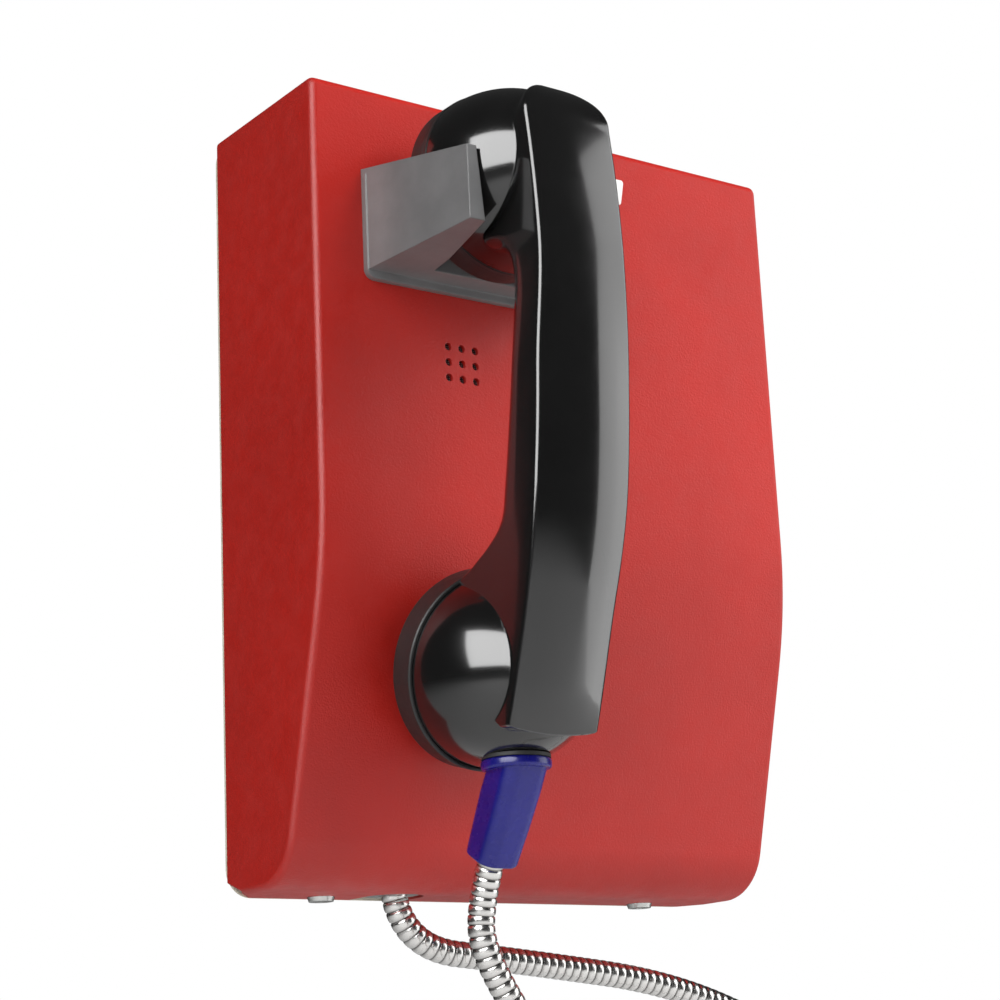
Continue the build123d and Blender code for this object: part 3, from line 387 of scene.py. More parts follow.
def circuit_laminate():
    """Green solder resist with copper tracks that show through as raised lines."""
    mat, tree, shader = material("board_green")
    coords = tree.nodes.new("ShaderNodeTexCoord")
    turned = tree.nodes.new("ShaderNodeMapping")
    turned.inputs["Rotation"].default_value = (pi / 2, 0, 0)
    tree.links.new(coords.outputs["Object"], turned.inputs["Vector"])
    tracks = tree.nodes.new("ShaderNodeTexBrick")
    socket(tracks, "Scale", 90.0)
    socket(tracks, "Mortar Size", 0.03)
    tracks.inputs["Color1"].default_value = (0, 0, 0, 1)
    tracks.inputs["Color2"].default_value = (0, 0, 0, 1)
    tracks.inputs["Mortar"].default_value = (1, 1, 1, 1)
    tree.links.new(turned.outputs["Vector"], tracks.inputs["Vector"])
    colour = tree.nodes.new("ShaderNodeMix")
    colour.data_type = "RGBA"
    colour.inputs["A"].default_value = (0.015, 0.16, 0.06, 1)
    colour.inputs["B"].default_value = (0.06, 0.34, 0.12, 1)
    tree.links.new(tracks.outputs["Fac"], colour.inputs["Factor"])
    tree.links.new(colour.outputs["Result"], shader.inputs["Base Color"])
    rough = mapped(tree, noise(tree, 300.0), 0.25, 0.4)
    tree.links.new(rough, shader.inputs["Roughness"])
    bumped(tree, shader, tracks.outputs["Fac"], strength=0.5, depth=0.00005)
    return mat


def cell_foam():
    """Cream closed-cell bead with the fine pits of its skin."""
    mat, tree, shader = material("seal_foam")
    coords = tree.nodes.new("ShaderNodeTexCoord")
    cells = tree.nodes.new("ShaderNodeTexVoronoi")
    socket(cells, "Scale", 1400.0)
    tree.links.new(coords.outputs["Object"], cells.inputs["Vector"])
    shade = tinted(tree, noise(tree, 80.0, 4.0), (0.6, 0.55, 0.43), (0.78, 0.73, 0.61))
    tree.links.new(shade, shader.inputs["Base Color"])
    rough = mapped(tree, noise(tree, 500.0), 0.75, 0.95)
    tree.links.new(rough, shader.inputs["Roughness"])
    bumped(tree, shader, cells.outputs["Distance"], strength=0.5, depth=0.0003)
    return mat


PLAIN_FINISHES = {
    "stainless": dict(
        dark=(0.55, 0.55, 0.54), light=(0.72, 0.72, 0.7),
        rough=0.25, grain=1600, bump=0.15, edge=0.0003, metal=1.0,
    ),
    "black_rubber": dict(
        dark=(0.016,) * 3, light=(0.03,) * 3,
        rough=0.62, grain=1500, bump=0.3, edge=0.0003,
    ),
    "label_film": dict(
        dark=(0.86, 0.86, 0.85), light=(0.93, 0.93, 0.92),
        rough=0.35, grain=900, bump=0.06, edge=0.0001,
    ),
    "cradle_black": dict(
        dark=(0.17, 0.17, 0.172), light=(0.22, 0.22, 0.222),
        rough=0.33, grain=1100, bump=0.22, edge=0.0007,
    ),
    "white_acetal": dict(
        dark=(0.76, 0.76, 0.72), light=(0.85, 0.85, 0.82),
        rough=0.3, grain=1200, bump=0.08, edge=0.0003,
    ),
    "switch_plastic": dict(
        dark=(0.04,) * 3, light=(0.06,) * 3,
        rough=0.5, grain=1400, bump=0.3, edge=0.0003,
    ),
    "brass": dict(
        dark=(0.6, 0.43, 0.2), light=(0.75, 0.58, 0.3),
        rough=0.28, grain=1500, bump=0.15, edge=0.0002, metal=1.0,
    ),
    "component_black": dict(
        dark=(0.03,) * 3, light=(0.05,) * 3,
        rough=0.55, grain=1500, bump=0.4, edge=0.0003,
    ),
    "component_can": dict(
        dark=(0.09, 0.1, 0.24), light=(0.14, 0.16, 0.34),
        rough=0.3, grain=1200, bump=0.1, edge=0.0004, metal=0.1, coat=0.2,
    ),
    "terminal_green": dict(
        dark=(0.06, 0.3, 0.12), light=(0.1, 0.38, 0.16),
        rough=0.45, grain=1200, bump=0.2, edge=0.0003,
    ),
    "capsule_metal": dict(
        dark=(0.5, 0.5, 0.5), light=(0.62, 0.62, 0.61),
        rough=0.3, grain=1500, bump=0.15, edge=0.0004, metal=1.0,
    ),
    "boot_rubber": dict(
        dark=(0.006, 0.006, 0.19), light=(0.01, 0.01, 0.26),
        rough=0.27, grain=1200, bump=0.1, edge=0.0005, coat=0.1,
    ),
    "handset_gloss": dict(
        dark=(0.0055,) * 3, light=(0.0075,) * 3,
        rough=0.16, grain=500, bump=0.04, edge=0.0008, coat=0.9,
    ),
    "cap_matt": dict(
        dark=(0.015,) * 3, light=(0.022,) * 3,
        rough=0.42, grain=1500, bump=0.3, edge=0.0006,
    ),
}


def plain(name):
    """The plain finish of that name, made once."""
    found = bpy.data.materials.get("finish_" + name)
    return found or finish(name, **PLAIN_FINISHES[name])


# ---------------------------------------------------------------- sizes and colours
def length(name, text, value):
    return FloatProperty(
        name=name, description=text, default=value, min=0, unit="LENGTH"
    )


def amount(name, text, value):
    return FloatProperty(name=name, description=text, default=value)


class HousingSizes(bpy.types.PropertyGroup):
    """Sizes and colour of the folded cover."""

    half_width: length("Half width", "Half the cover's width", 0.098)
    sheet: length("Sheet", "Thickness of the folded sheet", 0.0015)
    side_bend: length("Side bend", "Outer radius of the long side folds", 0.0024)
    top_bend: length("Top bend", "Outer radius of the top fold", 0.0035)
    lower_bend: length("Lower bend", "Outer radius of the fold under the slope", 0.02)
    break_height: length("Break height", "Start of the slope, above the base", 0.1013)
    break_radius: length("Break radius", "Radius of the bend into the slope", 0.175)
    slope: FloatProperty(
        name="Slope",
        description="Lean of the lower front",
        default=radians(15),
        subtype="ANGLE",
    )
    hole_pitch: length("Hole pitch", "Spacing of the sounder holes", 0.00543)
    hole_radius: length("Hole radius", "Radius of a sounder hole", 0.00135)
    coat_colour: bpy.props.FloatVectorProperty(
        name="Coat",
        description="Colour of the powder coat",
        subtype="COLOR",
        default=(0.5, 0.014, 0.008),
    )


class HandsetSizes(bpy.types.PropertyGroup):
    """Sizes of the handset's grip, heads, caps and boot."""

    grip_half: length("Grip half width", "Half the grip's width at its top", 0.0171)
    crease: length("Crease", "Rounding of the grip's outer edges", 0.0016)
    inner_round: length("Inner rounding", "Rounding of the grip's inner edges", 0.007)
    crown: length("Crown", "How far the outer face stands out in its middle", 0.0011)
    head_radius: length("Head radius", "Radius of both heads at the cap seam", 0.0312)
    ear_depth: length("Ear depth", "Depth of the ear head from its cap seam", 0.0388)
    mouth_depth: length("Mouth depth", "Depth of the mouth head from its seam", 0.0415)
    ear_radius: length("Ear cap", "Radius of the ear cap", 0.0314)
    mouth_radius: length("Mouth cap", "Radius of the mouth cap", 0.0324)
    cap_band: length("Cap band", "Depth of a cap's side", 0.010)
    cap_lap: length("Cap lap", "How far a cap laps over its head", 0.002)
    cap_crown: length("Cap crown", "How far a cap's face stands out", 0.0045)
    boot_root: length("Boot root", "Width of the boot below its flange", 0.0166)
    boot_tip: length("Boot tip", "Width of the boot where the cord enters", 0.0147)


class CordSizes(bpy.types.PropertyGroup):
    """Sizes of the armoured cord."""

    radius: length("Radius", "Outer radius of the hose", 0.0044)
    groove: length("Groove", "Depth of the joint between two rings", 0.0006)
    pitch: length("Pitch", "Length of one ring", 0.00315)
    sides: IntProperty(
        name="Sides", description="Points round the hose", default=24, min=8
    )


class StudioSettings(bpy.types.PropertyGroup):
    """Lights of the studio."""

    key: amount("Key", "Power of the left light in watts", 13)
    side: amount("Side", "Power of the right light in watts", 10)
    window: amount("Window", "Power of the gloss light in watts", 22)
    front: amount("Front", "Power of the front light in watts", 20)
    floor: amount("Floor", "Power of the floor light in watts", 9)
    fill: amount("Fill", "Strength of the surround", 0.035)


# ---------------------------------------------------------------- housing cover
HOLES_Z = BASE + 0.1713
SCREW_X, SCREW_Y, SCREW_HOLE = 0.067, -0.008, 0.0029
SLOT_Y, SLOT_RADIUS, SLOT_OPEN = -0.0115, 0.0105, 0.02
RELIEF = Vector((0.0083, 0.014, 0.005))
CUT_REACH = 0.004


def housing_outline(sizes):
    """Side outline of the cover, from its top rear edge to its bottom rear edge."""
    slope = sizes.slope
    break_z = BASE + sizes.break_height
    foot_y = FRONT + sizes.break_height * tan(slope)
    top = (FRONT + sizes.top_bend, TOP - sizes.top_bend)
    reach = sizes.break_radius * tan(slope / 2)
    knee = (FRONT + sizes.break_radius, break_z + reach)
    under = sizes.lower_bend
    foot = (foot_y + under * tan((pi / 2 - slope) / 2), BASE + under)
    lean = 180 + degrees(slope)
    return [
        (REAR, TOP),
        *arc(top, sizes.top_bend, 90, 180, 6),
        *arc(knee, sizes.break_radius, 180, lean, 10),
        *arc(foot, under, lean, 270, 12),
        (REAR, BASE),
    ]


def rod(bm, centre, axis, radius, reach, sides=32):
    """A closed cylinder centred on a point."""
    turn = Vector((0, 0, 1)).rotation_difference(axis).to_matrix().to_4x4()
    made = bmesh.ops.create_cone(
        bm,
        cap_ends=True,
        segments=sides,
        radius1=radius,
        radius2=radius,
        depth=2 * reach,
        matrix=Matrix.Translation(centre) @ turn,
    )
    return made["verts"]


def cover_cutters(sizes):
    """All that is cut from the cover: sounder and screw holes, cord slot, reliefs."""
    bm = bmesh.new()
    across, pitch = Vector((0, 1, 0)), sizes.hole_pitch
    for column in (-1, 0, 1):
        for row in (-1, 0, 1):
            spot = Vector((LINE_X + column * pitch, FRONT, HOLES_Z + row * pitch))
            rod(bm, spot, across, sizes.hole_radius, CUT_REACH)
    for side in (-1, 1):
        rod(bm, Vector((side * SCREW_X, SCREW_Y, BASE)), UP, SCREW_HOLE, CUT_REACH)
    slot = rod(bm, Vector((LINE_X, SLOT_Y, BASE)), UP, SLOT_RADIUS, CUT_REACH, 48)
    for vert in slot:
        if vert.co.y > SLOT_Y:
            vert.co.y += SLOT_OPEN
    spare = 0.002
    share = 1 + spare * (1 / RELIEF.x + 1 / RELIEF.y + 1 / RELIEF.z)
    for side in (-1, 1):
        corner = Vector((side * (sizes.half_width + spare), spare, BASE - spare))
        ends = [
            corner,
            corner + Vector((-side * RELIEF.x * share, 0, 0)),
            corner + Vector((0, -RELIEF.y * share, 0)),
            corner + Vector((0, 0, RELIEF.z * share)),
        ]
        bmesh.ops.convex_hull(bm, input=[bm.verts.new(p) for p in ends])
    return piece("cutters", bm, plain("stainless"), None, None)


class PHONE_OT_cover(bpy.types.Operator):
    """Folded front cover with its sounder holes, cord slot and corner reliefs"""

    bl_idname = "phone.cover"
    bl_label = "Housing cover"

    def execute(self, context):
        sizes = context.scene.phone_housing
        outline = housing_outline(sizes)
        bm = bmesh.new()
        loft(bm, pillow(outline, sizes.half_width, sizes.side_bend, 6))
        rear = [f for f in bm.faces if all(v.co.y > REAR - 0.0001 for v in f.verts)]
        bmesh.ops.delete(bm, geom=rear, context="FACES")
        cover = piece(
            "cover", bm, powder_coat(sizes), "housing", "red_powder_coat", "front_cover"
        )
        wall = cover.modifiers.new("wall", "SOLIDIFY")
        wall.thickness = sizes.sheet
        wall.offset = -1
        wall.use_even_offset = True
        apply(cover)
        boolean(cover, cover_cutters(sizes), "DIFFERENCE")
        smooth(cover, 30)
        return {"FINISHED"}


# ---------------------------------------------------------------- handset
# The grip's outer face from the top down: a roll over the end, a long bow, a tighter
# bow with its start, radius and centre, and a straight foot that leans in.
ROLL_START, ROLL_RADIUS = 0.2345, 0.017
BOW_START, BOW_RADIUS, BOW_HEIGHT, BOW_CENTRE = 0.115, 0.42, 0.176, 0.2864
KNEE_START, KNEE_RADIUS, KNEE_HEIGHT, KNEE_CENTRE = 0.0839, 0.2, 0.14404, 0.06873
FOOT_Y, FOOT_LEAN = -0.1220, radians(17.5)


def outer_face(height):
    """Where the grip's outer face stands at a height above the base."""
    if height > ROLL_START:
        over = height - ROLL_START
        return outer_face(ROLL_START) + ROLL_RADIUS - sqrt(ROLL_RADIUS**2 - over**2)
    if height > BOW_START:
        return BOW_CENTRE - sqrt(BOW_RADIUS**2 - (height - BOW_HEIGHT) ** 2)
    if height > KNEE_START:
        return KNEE_CENTRE - sqrt(KNEE_RADIUS**2 - (height - KNEE_HEIGHT) ** 2)
    return FOOT_Y + (KNEE_START - height) * tan(FOOT_LEAN)


# height of the outer face, then how far out and how high the inner face is beside it
GRIP_STATIONS = (
    (0.2494, -0.0980, 0.2400),
    (0.2485, -0.0970, 0.2370),
    (0.2465, -0.0970, 0.2320),
    (0.2430, -0.0965, 0.2265),
    (0.2380, -0.0965, 0.2210),
    (0.2310, -0.0960, 0.2150),
    (0.2220, -0.0960, 0.2060),
    (0.2120, -0.0990, 0.1985),
    (0.2030, -0.1085, 0.1945),
    (0.1960, -0.1130, 0.1895),
    (0.1870, -0.1147, 0.1820),
    (0.1700, -0.1141, 0.1680),
    (0.1500, -0.1121, 0.1510),
    (0.1300, -0.1092, 0.1330),
    (0.1140, -0.1062, 0.1170),
    (0.1030, -0.1032, 0.1060),
    (0.0940, -0.0970, 0.0992),
    (0.0860, -0.0890, 0.0945),
    (0.0780, -0.0795, 0.0900),
    (0.0700, -0.0795, 0.0800),
    (0.0600, -0.0820, 0.0660),
    (0.0500, -0.0870, 0.0530),
    (0.0440, -0.0950, 0.0450),
    (0.0404, -0.0990, 0.0412),
)


def eased_step(value, low, high):
    """0 below low and 1 above high, with a smooth rise between."""
    share = min(max((value - low) / (high - low), 0), 1)
    return share * share * (3 - 2 * share)


def grip_half_width(sizes, height):
    """Half the grip's width: fullest below its middle and rounded off at the top."""
    swell = 0.0012
    width = sizes.grip_half + swell * (1 - eased_step(height, 0.15, 0.19))
    width -= swell * (1 - eased_step(height, 0.07, 0.12))
    share = min(max((height - 0.236) / 0.014, 0), 0.96)
    return width * (1 - share * share) ** 0.6


def grip_section(sizes, height, inner, shrink=0.0, drop=0.0):
    """Points round the grip where its outer face is at a height, sharp outside.

    inner is how far out and how high the inner face is. shrink draws the section in
    and drop lowers it, to round off the foot.
    """
    settle = 0.0021 * (1 - eased_step(height, 0.145, 0.195))
    outer = Vector((0, outer_face(height) + settle, BASE + height))
    depth_way = Vector((0, inner[0], BASE + inner[1])) - outer
    depth = depth_way.length - shrink
    depth_way.normalize()
    half = grip_half_width(sizes, height) - shrink
    crease = min(sizes.crease, half / 3)
    flared = sizes.inner_round * (0.3 + 0.7 * eased_step(height, 0.086, 0.106))
    inner_round = min(flared, half - crease - 0.0005, depth - crease - 0.001)
    crown = (sizes.crown + settle) * eased_step(height, 0.036, 0.052)
    crown *= 1 - eased_step(height, 0.232, 0.249)
    crowned = [
        (x * (half - crease) / 4, -crown * (1 - (x / 4) ** 2)) for x in range(-4, 4)
    ]
    bend = arc((0, 0), crease, 90, 0, 4)
    right = [(half - crease + x, crease - y) for x, y in bend]
    low, deep = crease, depth - inner_round
    right += [(half, low + (deep - low) * i / 4) for i in (1, 2, 3)]
    bend = arc((0, 0), inner_round, 0, -90, 8)
    right += [(half - inner_round + x, depth - inner_round - y) for x, y in bend]
    left = [(-x, y) for x, y in reversed(right)]
    inset = (half - inner_round) / 2
    back = [(inset, depth), (0, depth), (-inset, depth)]
    foot = min(max((0.058 - height) / 0.017, 0), 1)
    section = []
    for x, y in crowned + right + back + left[:-1]:
        point = outer + depth_way * (shrink / 2 + y)
        lift = 0.0014 * foot * foot * (x / half) ** 2 - drop
        section.append(Vector((LINE_X + x, point.y, point.z + lift)))
    return section


def head(radius, depth, seam, out):
    """One domed head, half an ellipsoid standing on the cap seam."""
    bm = bmesh.new()
    angles = [pi / 2 * i / 24 for i in range(25)]
    dome = [(depth * sin(a), radius * cos(a)) for a in angles[1:-1]]
    edge = 0.0004
    profile = [(0, 0), (0, radius - edge), (edge, radius), *dome, (depth, 0)]
    spun(bm, profile, seam, out, 96)
    return piece("head", bm, plain("handset_gloss"), None, None)


class PHONE_OT_handset(bpy.types.Operator):
    """One-piece handset: bowed grip, two domed heads and the boot's neck"""

    bl_idname = "phone.handset"
    bl_label = "Handset body"

    def execute(self, context):
        sizes = context.scene.phone_handset
        stations = [
            grip_section(sizes, height, inner)
            for height, *inner in eased(GRIP_STATIONS, 4)
        ]
        height, *inner = GRIP_STATIONS[-1]
        stations.append(grip_section(sizes, height, inner, 0.0006, 0.0005))
        stations.append(grip_section(sizes, height, inner, 0.0018, 0.0009))
        bm = bmesh.new()
        loft(bm, stations)
        ends = [f for f in bm.faces if len(f.verts) > 4]
        bmesh.ops.poke(bm, faces=ends)
        body = piece(
            "handset",
            bm,
            plain("handset_gloss"),
            "handset",
            "handset_black",
            "handset_body",
        )
        radius = sizes.head_radius
        boolean(body, head(radius, sizes.ear_depth, EAR_SEAM, EAR_OUT), "UNION")
        boolean(body, head(radius, sizes.mouth_depth, MOUTH_SEAM, MOUTH_OUT), "UNION")
        neck = bmesh.new()
        rise, reach, edge = 0.012, 0.0096, 0.0004
        profile = [(0, 0), (0, reach - edge), (edge, reach), (rise, reach), (rise, 0)]
        spun(neck, profile, BOOT_SEAT, UP, 48)
        boolean(body, piece("neck", neck, plain("handset_gloss"), None, None), "UNION")
        smooth(body, 28)
        return {"FINISHED"}


def cap(node, sizes, radius, seam, out):
    """A screw cap: a band that laps the head, a crowned face and seven sound holes."""
    seam = seam + out * sizes.cap_lap
    band, crown, wall, edge = sizes.cap_band, sizes.cap_crown, 0.0028, 0.0012
    chamfer, ledge, steps = 0.0004, 0.0024, 8
    sweep = (radius**2 + crown**2) / (2 * crown)

    def face(reach, sunk):
        """The crowned face from its middle out, sunk into the cap."""
        radii = [reach * i / steps for i in range(steps + 1)]
        return [
            (-(band + crown - (sweep - sqrt(sweep**2 - r * r))) + sunk, r)
            for r in radii
        ]

    rim = radius - edge
    inner = rim - wall
    lip = sizes.head_radius + 0.00005
    turns = [pi / 2 * i / 6 for i in range(6)]
    rounding = [(-(band - edge) - edge * sin(a), rim + edge * cos(a)) for a in turns]
    profile = [
        *face(rim, 0),
        *reversed(rounding),
        (-chamfer, radius),
        (0, radius - chamfer),
        (0, lip),
        (-ledge, lip),
        (-ledge, inner),
        *reversed(face(inner, wall)),
    ]
    bm = bmesh.new()
    spun(bm, profile, seam, out, 96)
    matt = plain("cap_matt")
    obj = piece(node + "_cover", bm, matt, "handset", "handset_black", node)
    holes = bmesh.new()
    side = out.orthogonal().normalized()
    spots = [Vector((0, 0, 0))]
    spots += [0.007 * (Matrix.Rotation(pi / 3 * i, 3, out) @ side) for i in range(6)]
    for spot in spots:
        rod(holes, seam - out * (band + crown) + spot, out, 0.001, 0.005, 20)
    boolean(obj, piece("holes", holes, matt, None, None), "DIFFERENCE")
    smooth(obj, 30)
    return obj


class PHONE_OT_caps(bpy.types.Operator):
    """Ear cap and mouth cap with their sound holes"""

    bl_idname = "phone.caps"
    bl_label = "Caps"

    def execute(self, context):
        sizes = context.scene.phone_handset
        cap("ear_cap", sizes, sizes.ear_radius, EAR_SEAM, EAR_OUT)
        cap("mouth_cap", sizes, sizes.mouth_radius, MOUTH_SEAM, MOUTH_OUT)
        return {"FINISHED"}


# ---------------------------------------------------------------- boot and cord
def rounded_square(centre, side, front, width, corner):
    """Points round a square with round corners, eight to each corner."""
    inset = width / 2 - corner
    points = []
    for quarter, (sx, sy) in enumerate(((1, 1), (-1, 1), (-1, -1), (1, -1))):
        for i in range(8):
            angle = pi / 2 * (quarter + i / 7)
            points.append(
                centre
                + side * (sx * inset + corner * cos(angle))
                + front * (sy * inset + corner * sin(angle))
            )
    return points


class PHONE_OT_boot(bpy.types.Operator):
    """Moulded strain relief between the handset's neck and the cord"""

    bl_idname = "phone.boot"
    bl_label = "Cord boot"

    def execute(self, context):
        sizes = context.scene.phone_handset
        collar, thick, bead = 0.0102, 0.0032, 0.001
        flange_top = BOOT_SEAT - Vector((0, 0, 0.0012))
        root = flange_top - Vector((0, 0, thick))
        axis = (BOOT_TIP - root).normalized()
        side = Vector((1, 0, 0))
        run = (BOOT_TIP - root).length
        bm = bmesh.new()
        stations = []
        for share in (-0.04, 0.0, 0.12, 0.25, 0.5, 0.75, 0.9, 0.966):
            lean = min(max(share * 2, 0), 1)
            down = (-UP).lerp(axis, lean).normalized()
            width = sizes.boot_root + (sizes.boot_tip - sizes.boot_root) * max(share, 0)
            centre = root + axis * (run * share)
            stations.append(
                rounded_square(centre, side, side.cross(down), width, 0.005)
            )
        front = side.cross(axis)
        for angle in (30, 60, 90):
            sunk = bead * (1 - cos(radians(angle)))
            centre = BOOT_TIP - axis * bead * (1 - sin(radians(angle)))
            width = sizes.boot_tip - 2 * sunk
            stations.append(rounded_square(centre, side, front, width, 0.005 - sunk))
        for depth, mouth in ((0.0, 0.0101), (0.0006, 0.0095), (0.004, 0.0093)):
            centre = BOOT_TIP - axis * depth
            corner = mouth / 2 - 1e-5
            stations.append(rounded_square(centre, side, front, mouth, corner))
        loft(bm, stations)
        rubber = plain("boot_rubber")
        boot = piece("boot", bm, rubber, "handset", "boot_blue", "cord_boot")
        bm = bmesh.new()
        rise, stem, edge = 0.011, 0.005, 0.0004
        flange = [(rise, 0), (rise, stem - edge), (rise - edge, stem)]
        flange += [(0, stem), (0, collar)]
        turns = (0.4, 0.8, 1.2, 1.57)
        flange += [(-bead + bead * cos(a), collar + bead * sin(a)) for a in turns]
        foot = bead - thick
        flange += [
            (foot - bead * sin(a), collar + bead * cos(a)) for a in (0, *turns)
        ]
        flange += [(-thick, 0)]
        spun(bm, flange, flange_top, UP, 64)
        boolean(boot, piece("flange", bm, rubber, None, None), "UNION")
        smooth(boot, 30)
        return {"FINISHED"}


# the cord's control points from the gland to the boot
CORD_ROUTE = (
    (-0.0415, -0.0115, -0.1235),
    (-0.0415, -0.0115, -0.1483),
    (0.008, -0.0155, -0.1532),
    (0.0745, -0.020, -0.1615),
    (0.1245, -0.026, -0.184),
    (0.1445, -0.034, -0.244),
    (0.1165, -0.042, -0.304),
    (0.0545, -0.050, -0.314),
    (0.0085, -0.057, -0.258),
    (-0.0145, -0.060, -0.190),
    (-0.0415, -0.061875, -0.155),
    (-0.0415, -0.062875, -0.136922),
    (-0.0415, -0.073412, -0.119338),
)


def cord_line():
    """Points along the smooth curve whose control points are the cord's route."""
    curve = bpy.data.curves.new("cord_route", "CURVE")
    curve.dimensions = "3D"
    curve.resolution_u = 40
    spline = curve.splines.new("NURBS")
    spline.points.add(len(CORD_ROUTE) - 1)
    for point, place in zip(spline.points, CORD_ROUTE):
        point.co = (*place, 1)
    spline.order_u = 3
    spline.use_endpoint_u = True
    route = bpy.data.objects.new("cord_route", curve)
    bpy.context.scene.collection.objects.link(route)
    mesh = bpy.data.meshes.new_from_object(route)
    line = [v.co.copy() for v in mesh.vertices]
    bpy.data.objects.remove(route)
    bpy.data.curves.remove(curve)
    bpy.data.meshes.remove(mesh)
    return line


def along(line, step):
    """Points a step apart along a line, with the direction at each."""
    places, ahead = [], 0.0
    for a, b in zip(line, line[1:]):
        run = (b - a).length
        while ahead <= run and run > 0:
            places.append((a.lerp(b, ahead / run), (b - a).normalized()))
            ahead += step
        ahead -= run
    return places


class PHONE_OT_cord(bpy.types.Operator):
    """Armoured cord from the gland under the housing to the handset's boot"""

    bl_idname = "phone.cord"
    bl_label = "Armoured cord"

    def execute(self, context):
        sizes = context.scene.phone_cord
        line = cord_line()
        # share of a ring's length, and how deep in the joint the hose is there
        ring = ((0.0, 1.0), (0.14, 0.16), (0.36, 0.0), (0.7, 0.0), (0.9, 0.22))
        parts = 50
        fine = along(line, sizes.pitch / parts)
        stations, depths = [], []
        side = Vector((1, 0, 0))
        rings = int(len(fine) / parts)
        for index in range(rings):
            for share, deep in ring:
                place, heading = fine[index * parts + int(share * parts)]
                side = (side - heading * side.dot(heading)).normalized()
                other = heading.cross(side)
                radius = sizes.radius - sizes.groove * deep
                turns = [2 * pi * i / sizes.sides for i in range(sizes.sides)]
                stations.append(
                    [place + radius * (side * cos(t) + other * sin(t)) for t in turns]
                )
                depths.append(deep)
        bm = bmesh.new()
        layer = bm.verts.layers.float.new("joint_depth")
        loft(bm, stations)
        bm.verts.ensure_lookup_table()
        # the depth in the joint also sets the painted shade in the hose's colour
        for index, vert in enumerate(bm.verts):
            vert[layer] = depths[index // sizes.sides]
        cord = piece("cord", bm, hose_steel(), None, None)
        for face in cord.data.polygons:
            face.use_smooth = True
        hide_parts("armoured_cord")
        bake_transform(cord)
        return {"FINISHED"}


# ---------------------------------------------------------------- fittings and studio
class PHONE_OT_fittings(bpy.types.Operator):
    """Finishes for the fittings whose shape comes straight from the frame"""

    bl_idname = "phone.fittings"
    bl_label = "Fittings"

    def execute(self, context):
        special = {
            "zinc_plate": plated_steel(),
            "seal_foam": cell_foam(),
            "screen_mesh": woven_screen(),
            "board_green": circuit_laminate(),
            "red_powder_coat": bpy.data.materials["finish_red_powder_coat"],
            "cord_steel": bpy.data.materials["finish_hose_steel"],
            "handset_black": plain("handset_gloss"),
            "boot_blue": plain("boot_rubber"),
        }
        for part in frame["record"]["subparts"]:
            name = part["material_slot"]
            node = frame["nodes"][part["node"]]
            coat = special.get(name) or plain(name)
            if not node.material_slots:
                node.data.materials.append(coat)
            for held in node.material_slots:
                held.material = coat
        return {"FINISHED"}


def light(name, place, target, width, height, power):
    """A soft rectangular light aimed at a point."""
    data = bpy.data.lights.new(name, "AREA")
    data.shape = "RECTANGLE"
    data.size, data.size_y = width, height
    data.energy = power
    lamp = bpy.data.objects.new(name, data)
    lamp.location = place
    heading = Vector(target) - Vector(place)
    lamp.rotation_euler = heading.to_track_quat("-Z", "Y").to_euler()
    bpy.context.scene.collection.objects.link(lamp)
    return lamp


FLOOR_Z = -0.44
CAMERA_PLACE = (-0.47199, -0.67242, -0.20697)
CAMERA_TURN, CAMERA_RISE, CAMERA_ROLL = 36.134, 14.947, -2.628
CAMERA_LENS, CAMERA_SENSOR = 84.24, 36.0


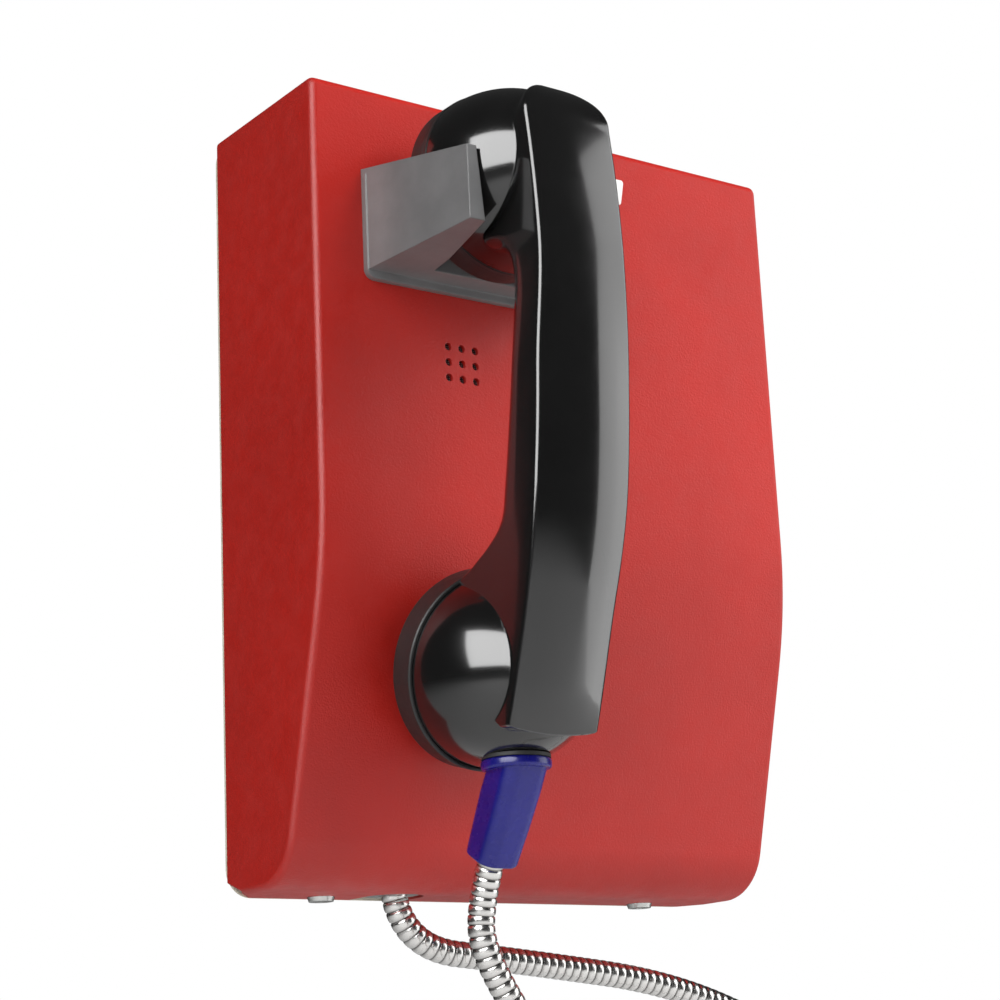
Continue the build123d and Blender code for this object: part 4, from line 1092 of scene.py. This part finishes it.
class PHONE_OT_studio(bpy.types.Operator):
    """Floor, surround, lights and camera"""

    bl_idname = "phone.studio"
    bl_label = "Studio"

    def execute(self, context):
        settings = context.scene.phone_studio
        bm = bmesh.new()
        bmesh.ops.create_grid(
            bm,
            x_segments=8,
            y_segments=8,
            size=3.0,
            matrix=Matrix.Translation((0, 0, FLOOR_Z)),
        )
        dark, light_grey = (0.8,) * 3, (0.84,) * 3
        mat = finish("floor_paper", dark, light_grey, rough=0.8, grain=200, bump=0.05)
        piece("floor", bm, mat, None, None)

        world = bpy.data.worlds.new("surround")
        context.scene.world = world
        world.use_nodes = True
        tree = world.node_tree
        surround = tree.nodes["Background"]
        surround.inputs["Color"].default_value = (1, 1, 1, 1)
        socket(surround, "Strength", settings.fill)
        backdrop = tree.nodes.new("ShaderNodeBackground")
        backdrop.inputs["Color"].default_value = (1, 1, 1, 1)
        socket(backdrop, "Strength", 1.0)
        path = tree.nodes.new("ShaderNodeLightPath")
        mix = tree.nodes.new("ShaderNodeMixShader")
        tree.links.new(path.outputs["Is Camera Ray"], mix.inputs["Fac"])
        tree.links.new(surround.outputs["Background"], mix.inputs[1])
        tree.links.new(backdrop.outputs["Background"], mix.inputs[2])
        surface = tree.nodes["World Output"].inputs["Surface"]
        tree.links.new(mix.outputs["Shader"], surface)

        aim = (LINE_X, -0.09, 0.0)
        light("key", (-1.17, -0.68, 0.5), aim, 1.35, 1.15, settings.key)
        light("side", (1.3, -0.78, 0.26), aim, 1.0, 1.5, settings.side)
        window = light("window", (-1.16, -0.68, 0.5), aim, 1.3, 1.1, settings.window)
        window.visible_diffuse = False
        front = light("front", (0.75, -1.0, 1.05), aim, 1.1, 0.9, settings.front)
        front.visible_glossy = False
        above, below = (0, -0.5, 1.6), (0, -0.5, -0.5)
        wash = light("floor_wash", above, below, 1.5, 1.5, settings.floor)
        wash.visible_glossy = False

        camera = bpy.data.cameras.new("camera")
        camera.lens = CAMERA_LENS
        camera.sensor_width = CAMERA_SENSOR
        holder = bpy.data.objects.new("camera", camera)
        turn, rise, roll = map(radians, (CAMERA_TURN, CAMERA_RISE, CAMERA_ROLL))
        ahead = Vector((sin(turn) * cos(rise), cos(turn) * cos(rise), sin(rise)))
        right = Vector((cos(turn), -sin(turn), 0))
        up = right.cross(ahead)
        tilted_right = right * cos(roll) + up * sin(roll)
        tilted_up = up * cos(roll) - right * sin(roll)
        axes = Matrix((tilted_right, tilted_up, -ahead)).transposed()
        holder.matrix_world = Matrix.Translation(CAMERA_PLACE) @ axes.to_4x4()
        context.scene.collection.objects.link(holder)
        context.scene.camera = holder
        context.scene.view_settings.view_transform = "Standard"
        return {"FINISHED"}


OPERATORS = (
    PHONE_OT_cover,
    PHONE_OT_handset,
    PHONE_OT_caps,
    PHONE_OT_boot,
    PHONE_OT_cord,
    PHONE_OT_fittings,
    PHONE_OT_studio,
)
SETTINGS = (
    ("phone_housing", HousingSizes),
    ("phone_handset", HandsetSizes),
    ("phone_cord", CordSizes),
    ("phone_studio", StudioSettings),
)


class PHONE_PT_panel(bpy.types.Panel):
    """Lists the phone's pieces and their sizes"""

    bl_label = "Wall phone"
    bl_idname = "PHONE_PT_panel"
    bl_space_type = "VIEW_3D"
    bl_region_type = "UI"
    bl_category = "Phone"

    def draw(self, context):
        layout = self.layout
        for operator in OPERATORS:
            layout.operator(operator.bl_idname)
        for name, group in SETTINGS:
            box = layout.box()
            box.label(text=group.__doc__)
            for key in group.__annotations__:
                box.prop(getattr(context.scene, name), key)


def register():
    for name, group in SETTINGS:
        bpy.utils.register_class(group)
        setattr(bpy.types.Scene, name, PointerProperty(type=group))
    for cls in (*OPERATORS, PHONE_PT_panel):
        bpy.utils.register_class(cls)


def unregister():
    for cls in (PHONE_PT_panel, *reversed(OPERATORS)):
        bpy.utils.unregister_class(cls)
    for name, group in reversed(SETTINGS):
        delattr(bpy.types.Scene, name)
        bpy.utils.unregister_class(group)


def main():
    register()
    bpy.ops.phone.cover()
    bpy.ops.phone.handset()
    bpy.ops.phone.caps()
    bpy.ops.phone.boot()
    bpy.ops.phone.cord()
    bpy.ops.phone.fittings()
    bpy.ops.phone.studio()


if __name__ == "__main__":
    main()
